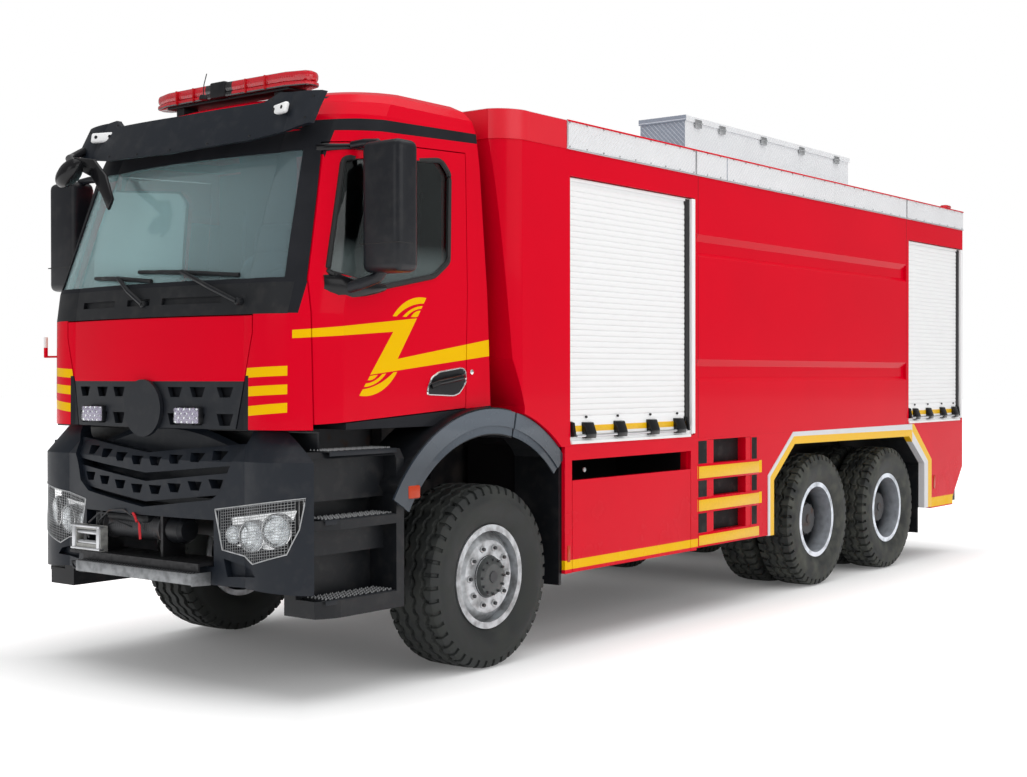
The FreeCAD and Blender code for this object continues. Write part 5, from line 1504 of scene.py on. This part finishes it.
def lift_bar(shape, front, back, low, y):
    """The bottom bar: body, yellow stripe, rod, brackets, end levers and sill."""
    box(shape, (back + 0.06, y - 0.012, low + 0.020), (front - 0.01, y + 0.006, low + 0.140), 0.003, 0)
    box(shape, (back + 0.06, y + 0.004, low + 0.062), (front - 0.01, y + 0.0085, low + 0.100), 0.001, 3)
    box(shape, (back, y - 0.010, low - 0.012), (front, y + 0.030, low + 0.008), 0.003, 0)
    rod(shape, (back + 0.07, y + 0.034, low + 0.038), (front - 0.04, y + 0.034, low + 0.038), 0.009, sides=14,
        bevel=0.002, material=4)
    length = front - back
    for part in (0.095, 0.345, 0.62, 0.86):
        x = front - length * part
        plate(shape, [(x, y, low + 0.020), (x, y + 0.046, low + 0.020), (x, y + 0.050, low + 0.052),
                      (x, y + 0.026, low + 0.118), (x, y, low + 0.122)],
              (-0.105 * min(1.0, length / 1.4), 0, 0), 0.004, 2)
        rod(shape, (x - 0.05, y + 0.002, low + 0.152), (x - 0.05, y + 0.012, low + 0.152), 0.008, sides=8,
            material=2)
    for x in (front - 0.030, back + 0.030):
        plate(shape, [(x, y, low + 0.030), (x, y + 0.044, low + 0.034), (x, y + 0.030, low + 0.120),
                      (x, y, low + 0.130)], (0.022, 0, 0), 0.003, 2)


def curtain(shape, front, back, low, high, skin):
    """A side shutter between two X places: slats, two seals, frame and lift bar."""
    y = side_y(skin, (front + back) / 2, (low + high) / 2)
    slats(shape, (back + 0.102, y, low + 0.125), (front - back - 0.118, 0, 0), (0, 1, 0), high - 0.020)
    box(shape, (back + 0.048, y - 0.004, low + 0.02), (back + 0.100, y + 0.016, high - 0.01), 0.003, 1)
    box(shape, (front - 0.014, y - 0.004, low + 0.02), (front - 0.004, y + 0.016, high - 0.01), 0.003, 0)
    box(shape, (back + 0.004, y - 0.006, low + 0.01), (back + 0.048, y + 0.036, high - 0.006), 0.004, 0)
    box(shape, (back + 0.02, y - 0.004, high - 0.026), (front - 0.01, y + 0.012, high - 0.006), 0.004, 0)
    lift_bar(shape, front - 0.004, back + 0.06, low, y + 0.006)


shutter_skin = surface("locker_shutters")
for name, front, back, low, high in (("front_shutters", 2.080, 0.618, 1.270, 2.898),
                                     ("rear_shutters", -3.041, -4.292, 1.264, 2.878)):
    shape = bmesh.new()
    curtain(shape, front, back, low, high, shutter_skin)
    both_sides(shape)
    settle(name, shape, [white_coat, seal_rubber, gloss_black, yellow_film, satin_aluminium], "root")
shape = bmesh.new()
rear_face = shutter_skin.ray_cast(Vector((-7, 0, 2.2)), Vector((1, 0, 0)))[0].x
slats(shape, (rear_face, -0.84, 1.430), (0, 1.68, 0), (-1, 0, 0), 2.850)
box(shape, (rear_face - 0.010, -0.84, 1.315), (rear_face + 0.004, 0.84, 1.425), 0.003, 0)
box(shape, (rear_face - 0.013, -0.84, 1.350), (rear_face - 0.009, 0.84, 1.388), 0.001, 3)
rod(shape, (rear_face - 0.022, -0.80, 1.330), (rear_face - 0.022, 0.80, 1.330), 0.009, sides=14,
    bevel=0.002, material=4)
for y in (-0.78, -0.30, 0.24, 0.72):
    box(shape, (rear_face - 0.034, y, 1.315), (rear_face, y + 0.06, 1.400), 0.005, 2)
settle("rear_curtain", shape, [white_coat, seal_rubber, gloss_black, yellow_film, satin_aluminium], "root")
print("shutter faces:", [len(piece.data.polygons) for piece in made_pieces[-3:]])

# %% [markdown]
# ## Roof edge, roof box and hatches
#
# The aluminium band along the roof is held by rows of small screws, with a bead along each edge
# and a joint cover where two sheets meet. The roof box has hinges and catches. The hatches are
# pressed lids over the water tank, and a low rail runs along the far side.

# %% Roof trim
shape = bmesh.new()
for x in steps_between(-4.28, 2.09, 0.182):
    for z in (3.077, 3.222):
        rod(shape, (x, 1.2565, z), (x, 1.2595, z), 0.0055, 0.004, sides=8, material=1)
for x in (0.602, -2.984):
    box(shape, (x - 0.006, 1.2565, 3.062), (x + 0.006, 1.2590, 3.234), 0.001, 1)
box(shape, (-4.312, 1.250, 3.228), (2.118, 1.261, 3.238), 0.003, 3)
box(shape, (-4.312, 1.250, 3.058), (2.118, 1.260, 3.068), 0.003, 0)
box(shape, (2.108, 1.2505, 3.060), (2.120, 1.2595, 3.236), 0.002, 0)
both_sides(shape)
for x in (-2.30, -1.65, -1.0, -0.35, 0.0):
    box(shape, (x - 0.045, 0.910, 3.500), (x + 0.045, 0.917, 3.560), 0.003, 1)
    rod(shape, (x - 0.05, 0.916, 3.535), (x + 0.05, 0.916, 3.535), 0.006, sides=10, material=1)
for x in (-1.9, -0.5):
    box(shape, (x - 0.035, 0.492, 3.470), (x + 0.035, 0.505, 3.560), 0.005, 2)
for x in steps_between(-2.5, 0.12, 0.20):
    rod(shape, (x, 0.900, 3.25), (x, 0.904, 3.25), 0.006, 0.004, sides=8, material=1)
settle("roof_trim", shape, [satin_aluminium, zinc, black_plastic, plain_red], "root")

shape = bmesh.new()
for x, size in ((1.30, 0.30), (-3.30, 0.26)):
    box(shape, (x - size, -size, 3.109), (x + size, size, 3.150), 0.010, 0)
    box(shape, (x - size - 0.02, -size - 0.02, 3.140), (x + size + 0.02, size + 0.02, 3.170), 0.014, 0, 3)
    wire(shape, [(x - 0.09, -size - 0.01, 3.168), (x - 0.09, -size + 0.03, 3.200),
                 (x + 0.09, -size + 0.03, 3.200), (x + 0.09, -size - 0.01, 3.168)], 0.008, 8, 1)
for x in steps_between(-3.9, 1.9, 1.16):
    rod(shape, (x, -1.20, 3.234), (x, -1.20, 3.330), 0.012, sides=12, material=0)
wire(shape, [(-3.95, -1.20, 3.24), (-3.90, -1.20, 3.335), (1.90, -1.20, 3.335), (1.95, -1.20, 3.24)], 0.014,
     10, 0)
settle("roof_hatches", shape, [satin_aluminium, zinc], "root")

# %% [markdown]
# ## Lower body: openings behind the rungs and markers
#
# Behind the rungs the body is open for the foot. Near-black sheets, set a little over the panel, stand for
# those openings as painted shade, and each rung has a yellow band. Small orange reflectors mark the sides.

# %% Lower body fittings
panel_skin = surface("side_skirts")
shape = bmesh.new()
y = side_y(panel_skin, 0.28, 1.10, 1.18)
# Painted shade: near-black sheets stand for the openings behind the rungs.
for low, high in ((1.062, 1.226), (0.830, 0.950), (0.582, 0.722)):
    box(shape, (-0.150, y - 0.004, low), (0.545, y + 0.003, high), 0.001, 0)
    for back, front in ((0.452, 0.566), (-0.268, -0.192)):
        box(shape, (back, 1.240, low + 0.004), (front, 1.2512, high - 0.002), 0.0, 0)
for low, high in ((0.950, 1.062), (0.722, 0.830), (0.484, 0.582)):
    box(shape, (-0.300, 1.196, low), (0.570, 1.2530, high), 0.002, 1)
    box(shape, (-0.296, 1.2515, low + 0.014), (0.562, 1.2545, high - 0.016), 0.001, 2)
box(shape, (2.085, 1.2485, 0.540), (2.112, 1.2540, 0.640), 0.002, 3)
box(shape, (-3.640, 1.2485, 0.640), (-3.600, 1.2560, 0.760), 0.003, 3)
rod(shape, (1.92, 1.236, 1.095), (1.92, 1.246, 1.095), 0.014, sides=20, bevel=0.002, material=4)
both_sides(shape)
settle("lower_body_fittings", shape, [opening_shade_black, plain_red, yellow_film, reflector, zinc], "root")

# %% Front mudguard lips and side markers
shape = bmesh.new()
for inner, outer, low, high in ((0.820, 0.866, 1.2195, 1.2270), (0.866, 0.962, 1.2195, 1.2330)):
    for first, last in ((104, 137), (31, 103)):
        before = set(shape.verts)
        turn = math.radians(first)
        corners = [(FRONT_AXLE + radius * math.cos(turn), low, AXLE_HEIGHT + radius * math.sin(turn))
                   for radius in (inner, outer)]
        corners += [(corners[1][0], high, corners[1][2]), (corners[0][0], high + 0.002, corners[0][2])]
        face = shape.faces.new([shape.verts.new(corner) for corner in corners])
        bmesh.ops.spin(shape, geom=[face], cent=(FRONT_AXLE, 0, AXLE_HEIGHT), axis=(0, -1, 0), dvec=(0, 0, 0),
                       angle=math.radians(last - first), steps=24, use_merge=False, use_duplicate=False)
        verts = added(shape, before)
        bmesh.ops.recalc_face_normals(shape, faces=faces_of(verts))
        paint_faces(verts, 0)
box(shape, (3.430, 1.190, 1.012), (3.545, 1.226, 1.098), 0.010, 1, 3)
box(shape, (3.442, 1.222, 1.020), (3.535, 1.240, 1.090), 0.008, 2, 3)
both_sides(shape)
settle("mudguard_lips", shape, [fender_plastic, black_plastic, reflector], "root")

# %% [markdown]
# ## Cab steps
#
# Each tread is a dark strip set with rows of sharp bright teeth, so a wet boot grips it. A tooth
# is a tiny cone with four sides, and every second row is shifted.

# %% Step treads
shape = bmesh.new()
for low, inner, outer, front in ((1.288, 0.99, 1.172, 4.060), (0.940, 1.00, 1.172, 4.090),
                                 (0.530, 1.00, 1.172, 4.090)):
    box(shape, (3.560, inner, low), (front, outer, low + 0.005), 0.001, 0)
    for column in range(int((front - 3.575) / 0.022)):
        for row in range(int((outer - inner) / 0.026)):
            place = Vector((3.575 + column * 0.022, inner + 0.012 + row * 0.026 + 0.008 * (column % 2),
                            low + 0.004))
            rod(shape, place, place + Vector((0, 0, 0.009)), 0.0062, 0.0022, sides=4, material=1)
    box(shape, (3.560, outer - 0.004, low - 0.020), (front, outer + 0.003, low + 0.006), 0.002, 2)
both_sides(shape)
settle("step_treads", shape, [black_plastic, zinc, grille_plastic], "root")
print("tread faces:", len(made_pieces[-1].data.polygons))

# %% [markdown]
# ## Rear lamps and the back of the body
#
# A rear lamp is a dark tray with a row of coloured lenses, so each colour is its own small
# block with a rounded edge. The back of the body has handrails, markers and a tow hook.

# %% Rear lamps, rails and hook
shape = bmesh.new()
for inner, outer, colour in ((0.790, 0.868, 1), (0.874, 0.952, 1), (0.958, 1.036, 2), (1.042, 1.128, 1)):
    box(shape, (-4.374, inner, 0.612), (-4.356, outer, 0.728), 0.008, colour, 3)
for z, colour in ((1.34, 1), (1.46, 2), (1.58, 1)):
    box(shape, (-4.326, 1.010, z), (-4.306, 1.110, z + 0.10), 0.010, colour, 3)
box(shape, (-4.318, 1.000, 1.325), (-4.304, 1.120, 1.695), 0.006, 0, 3)
box(shape, (-4.330, 1.080, 3.080), (-4.310, 1.200, 3.130), 0.008, 1, 3)
box(shape, (-4.330, 0.980, 3.080), (-4.310, 1.060, 3.130), 0.008, 2, 3)
both_sides(shape)
wire(shape, [(-4.312, 0.95, 1.50), (-4.362, 0.95, 1.50), (-4.362, 0.95, 2.40), (-4.312, 0.95, 2.40)], 0.014,
     10, 4)
for y in (-0.05, 0.05):
    box(shape, (-4.372, y - 0.012, 0.84), (-4.23, y + 0.012, 0.98), 0.004, 5)
rod(shape, (-4.35, -0.085, 0.91), (-4.35, 0.085, 0.91), 0.020, sides=16, bevel=0.003, material=5)
for y in steps_between(-0.70, 0.70, 0.35):
    rod(shape, (-4.381, y, 0.53), (-4.376, y, 0.53), 0.012, sides=6, material=3)
settle("rear_lamps", shape,
       [black_plastic, red_lens_solid, reflector, zinc, satin_aluminium, chassis_paint], "root")

# %% [markdown]
# ## Running gear below the frame
#
# Leaf springs are stacks of thin curved strips of different lengths. The front ones are held to
# the axle by U-bolts. The drive goes through shafts with a joint at each end. Air bottles with
# rounded ends, straps and pipes fill the space between the rails.

# %% Springs, shafts, bottles and pipes
def leaf(shape, middle_x, y, low, length, rise, thick=0.013, width=0.08):
    """One spring leaf: a shallow arc pushed across its width."""
    outline = []
    for place in range(9):
        along = place / 8 * 2 - 1
        outline.append((middle_x + along * length / 2, low + rise * along * along))
    upper = [(x, z + thick) for x, z in reversed(outline)]
    plate(shape, [(x, y - width / 2, z) for x, z in outline + upper], (0, width, 0), 0.0, 0)


shape = bmesh.new()
for count in range(4):
    leaf(shape, FRONT_AXLE, 0.40, 0.700 - 0.015 * count, 1.30 - 0.26 * count, 0.075 * (1 - 0.19 * count) ** 2)
for x in (FRONT_AXLE - 0.08, FRONT_AXLE + 0.08):
    wire(shape, [(x, 0.352, 0.56), (x, 0.352, 0.725), (x, 0.448, 0.725), (x, 0.448, 0.56)], 0.010, 8, 1)
for count in range(7):
    leaf(shape, (MIDDLE_AXLE + REAR_AXLE) / 2, 0.40, 0.560 + 0.016 * count, 0.62 + 0.13 * count,
         -0.02 - 0.006 * count, 0.014, 0.09)
both_sides(shape)
shaft_points = ((2.56, 0.0, 1.02), (0.62, 0.0, 0.86), (-1.08, 0.0, 0.66))
for start, end in zip(shaft_points, shaft_points[1:]):
    rod(shape, start, end, 0.052, sides=28, material=0)
    for place in (start, end):
        rod(shape, Vector(place) + Vector((-0.035, 0, 0)), Vector(place) + Vector((0.035, 0, 0)), 0.085,
            sides=24, bevel=0.006, material=0)
rod(shape, (-1.70, 0, 0.60), (-2.42, 0, 0.60), 0.05, sides=24, material=0)
for x, y in ((-0.35, 0.24), (-0.35, -0.24), (1.45, 0.24)):
    rod(shape, (x, y, 0.66), (x + 0.72, y, 0.66), 0.105, sides=36, bevel=0.030, material=2)
    for strap in (0.16, 0.56):
        rod(shape, (x + strap, y, 0.66), (x + strap + 0.03, y, 0.66), 0.108, sides=36, material=1)
for y in (0.36, -0.36):
    wire(shape, [(3.2, y, 0.90), (1.4, y, 0.88), (0.2, y, 0.90), (-2.4, y, 0.89), (-3.8, y, 0.92)], 0.010,
         8, 3)
    wire(shape, [(3.0, y * 0.93, 0.94), (0.9, y * 0.93, 0.93), (-3.8, y * 0.93, 0.95)], 0.007, 8, 3)
settle("running_gear", shape, [casting, zinc, chassis_paint, seal_rubber], "root")

# %% [markdown]
# ## Service points behind the bonnet flap
#
# When the flap is lifted, the caps for oil, coolant and washer water can be reached. A cap is a
# short turned disc with a grip across it.

# %% Service points
service_skin = surface("cab_shell")
shape = bmesh.new()
for y, z, size, colour in ((-0.42, 1.78, 0.045, 0), (-0.18, 1.74, 0.038, 1), (0.12, 1.80, 0.050, 2),
                           (0.40, 1.76, 0.036, 0)):
    x = front_x(service_skin, y, z, 4.1)
    rod(shape, (x - 0.01, y, z), (x + 0.016, y, z), size, sides=28, bevel=0.004, material=colour)
    box(shape, (x + 0.010, y - size * 0.75, z - 0.006), (x + 0.022, y + size * 0.75, z + 0.006), 0.003,
        colour)
settle("service_points", shape, [black_plastic, yellow_film, satin_aluminium], "root")
print("below the frame:", [(piece.name, len(piece.data.polygons)) for piece in made_pieces[-3:]])

# %% [markdown]
# ## Seats
#
# Foam under cloth bulges in the middle and pulls in at each seam, and no simulation is needed
# for that: each cushion starts as a finely divided block whose corners are rounded, its faces
# are crowned, and narrow valleys are pressed in along the seams. A frame carries each seat, with
# a belt beside it.

# %% Cushions
SEAT_MIDDLE = 0.46


def cushion(name, corners, middle, half_width, crown, seams):
    """A padded block. corners are four (x, z) places: back low, front low, front high, back high."""
    shape = bmesh.new()
    bmesh.ops.create_cube(shape, size=2.0)
    bmesh.ops.subdivide_edges(shape, edges=shape.edges[:], cuts=17, use_grid_fill=True)
    quad = [Vector((x, 0, z)) for x, z in corners]
    for vert in shape.verts:
        u, v, w = vert.co
        shrink = (abs(u) ** 6 + abs(v) ** 6 + abs(w) ** 6) ** (-1 / 6)
        valley = sum(math.exp(-((v - seam) / 0.05) ** 2) for seam in seams)
        swell = crown * (1 - u * u if abs(w) > 0.99 else 1 - w * w) * (1 - v * v) - 0.05 * valley
        if abs(w) > 0.99:
            w *= 1 + swell
        elif abs(u) > 0.99:
            u *= 1 + swell
        u, v, w = u * shrink, v * shrink, w * shrink
        lower = quad[0].lerp(quad[1], (u + 1) / 2)
        upper = quad[3].lerp(quad[2], (u + 1) / 2)
        vert.co = lower.lerp(upper, (w + 1) / 2) + Vector((0, middle + v * half_width, 0))
    bmesh.ops.recalc_face_normals(shape, faces=shape.faces[:])
    made = settle(name, shape, [cloth], "root", 60.0)
    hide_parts("seats")
    return made


for side, sign in (("left", 1), ("right", -1)):
    cushion(side + "_seat_cushion", ((3.02, 1.885), (3.52, 1.885), (3.52, 1.995), (3.02, 1.985)),
            sign * SEAT_MIDDLE, 0.255, 0.22, (-0.62, 0.62))
    cushion(side + "_seat_back", ((2.975, 1.90), (3.095, 1.96), (2.985, 2.44), (2.885, 2.42)),
            sign * SEAT_MIDDLE, 0.245, 0.20, (-0.60, 0.60))
    cushion(side + "_head_rest", ((2.885, 2.455), (2.975, 2.47), (2.945, 2.635), (2.860, 2.615)),
            sign * SEAT_MIDDLE, 0.15, 0.18, ())
shape = bmesh.new()
y = SEAT_MIDDLE
box(shape, (3.03, y - 0.235, 1.845), (3.50, y + 0.235, 1.895), 0.015, 0, 3)
box(shape, (3.10, y - 0.18, 1.560), (3.44, y + 0.18, 1.850), 0.020, 0, 3)
for post in (-0.05, 0.05):
    rod(shape, (2.93, y + post, 2.40), (2.915, y + post, 2.50), 0.007, sides=10, material=1)
wire(shape, [(2.90, y + 0.30, 2.75), (2.93, y + 0.29, 2.35), (3.02, y + 0.27, 1.95), (3.05, y + 0.26, 1.70)],
     0.008, 6, 0)
both_sides(shape)
frame_piece = settle("seat_frames", shape, [trim_plastic, zinc], "root")
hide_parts("seats")

# %% [markdown]
# ## Steering wheel
#
# The steering wheel's rim is a bar bent into a ring, on three spokes and tilted towards the
# driver. Its column goes down into the dashboard.

# %% Steering wheel
shape = bmesh.new()
tilt = Vector((0.62, 0, 0.78)).normalized()
centre = Vector((3.715, 0.45, 2.06))
first = Vector((0, 1, 0))
second = tilt.cross(first)


def spoke(degrees):
    """A unit vector in the plane of the rim."""
    return first * math.cos(math.radians(degrees)) + second * math.sin(math.radians(degrees))


wire(shape, [centre + spoke(step * 9) * 0.222 for step in range(41)], 0.016, 10, 0)
for angle in (20, 160, 270):
    reach = spoke(angle)
    rod(shape, centre + reach * 0.04, centre + reach * 0.215, 0.014, 0.010, sides=10, material=1)
rod(shape, centre - tilt * 0.03, centre + tilt * 0.02, 0.062, 0.052, sides=28, bevel=0.008, material=0)
rod(shape, centre - tilt * 0.22, centre - tilt * 0.02, 0.030, sides=18, material=0)
settle("steering_wheel", shape, [black_plastic, zinc], "root")
print("seats:", [piece.name for piece in made_pieces[-8:]])

# %% Finish
low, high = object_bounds()
print("visual box:", [round(b - a, 3) for a, b in zip(low, high)])
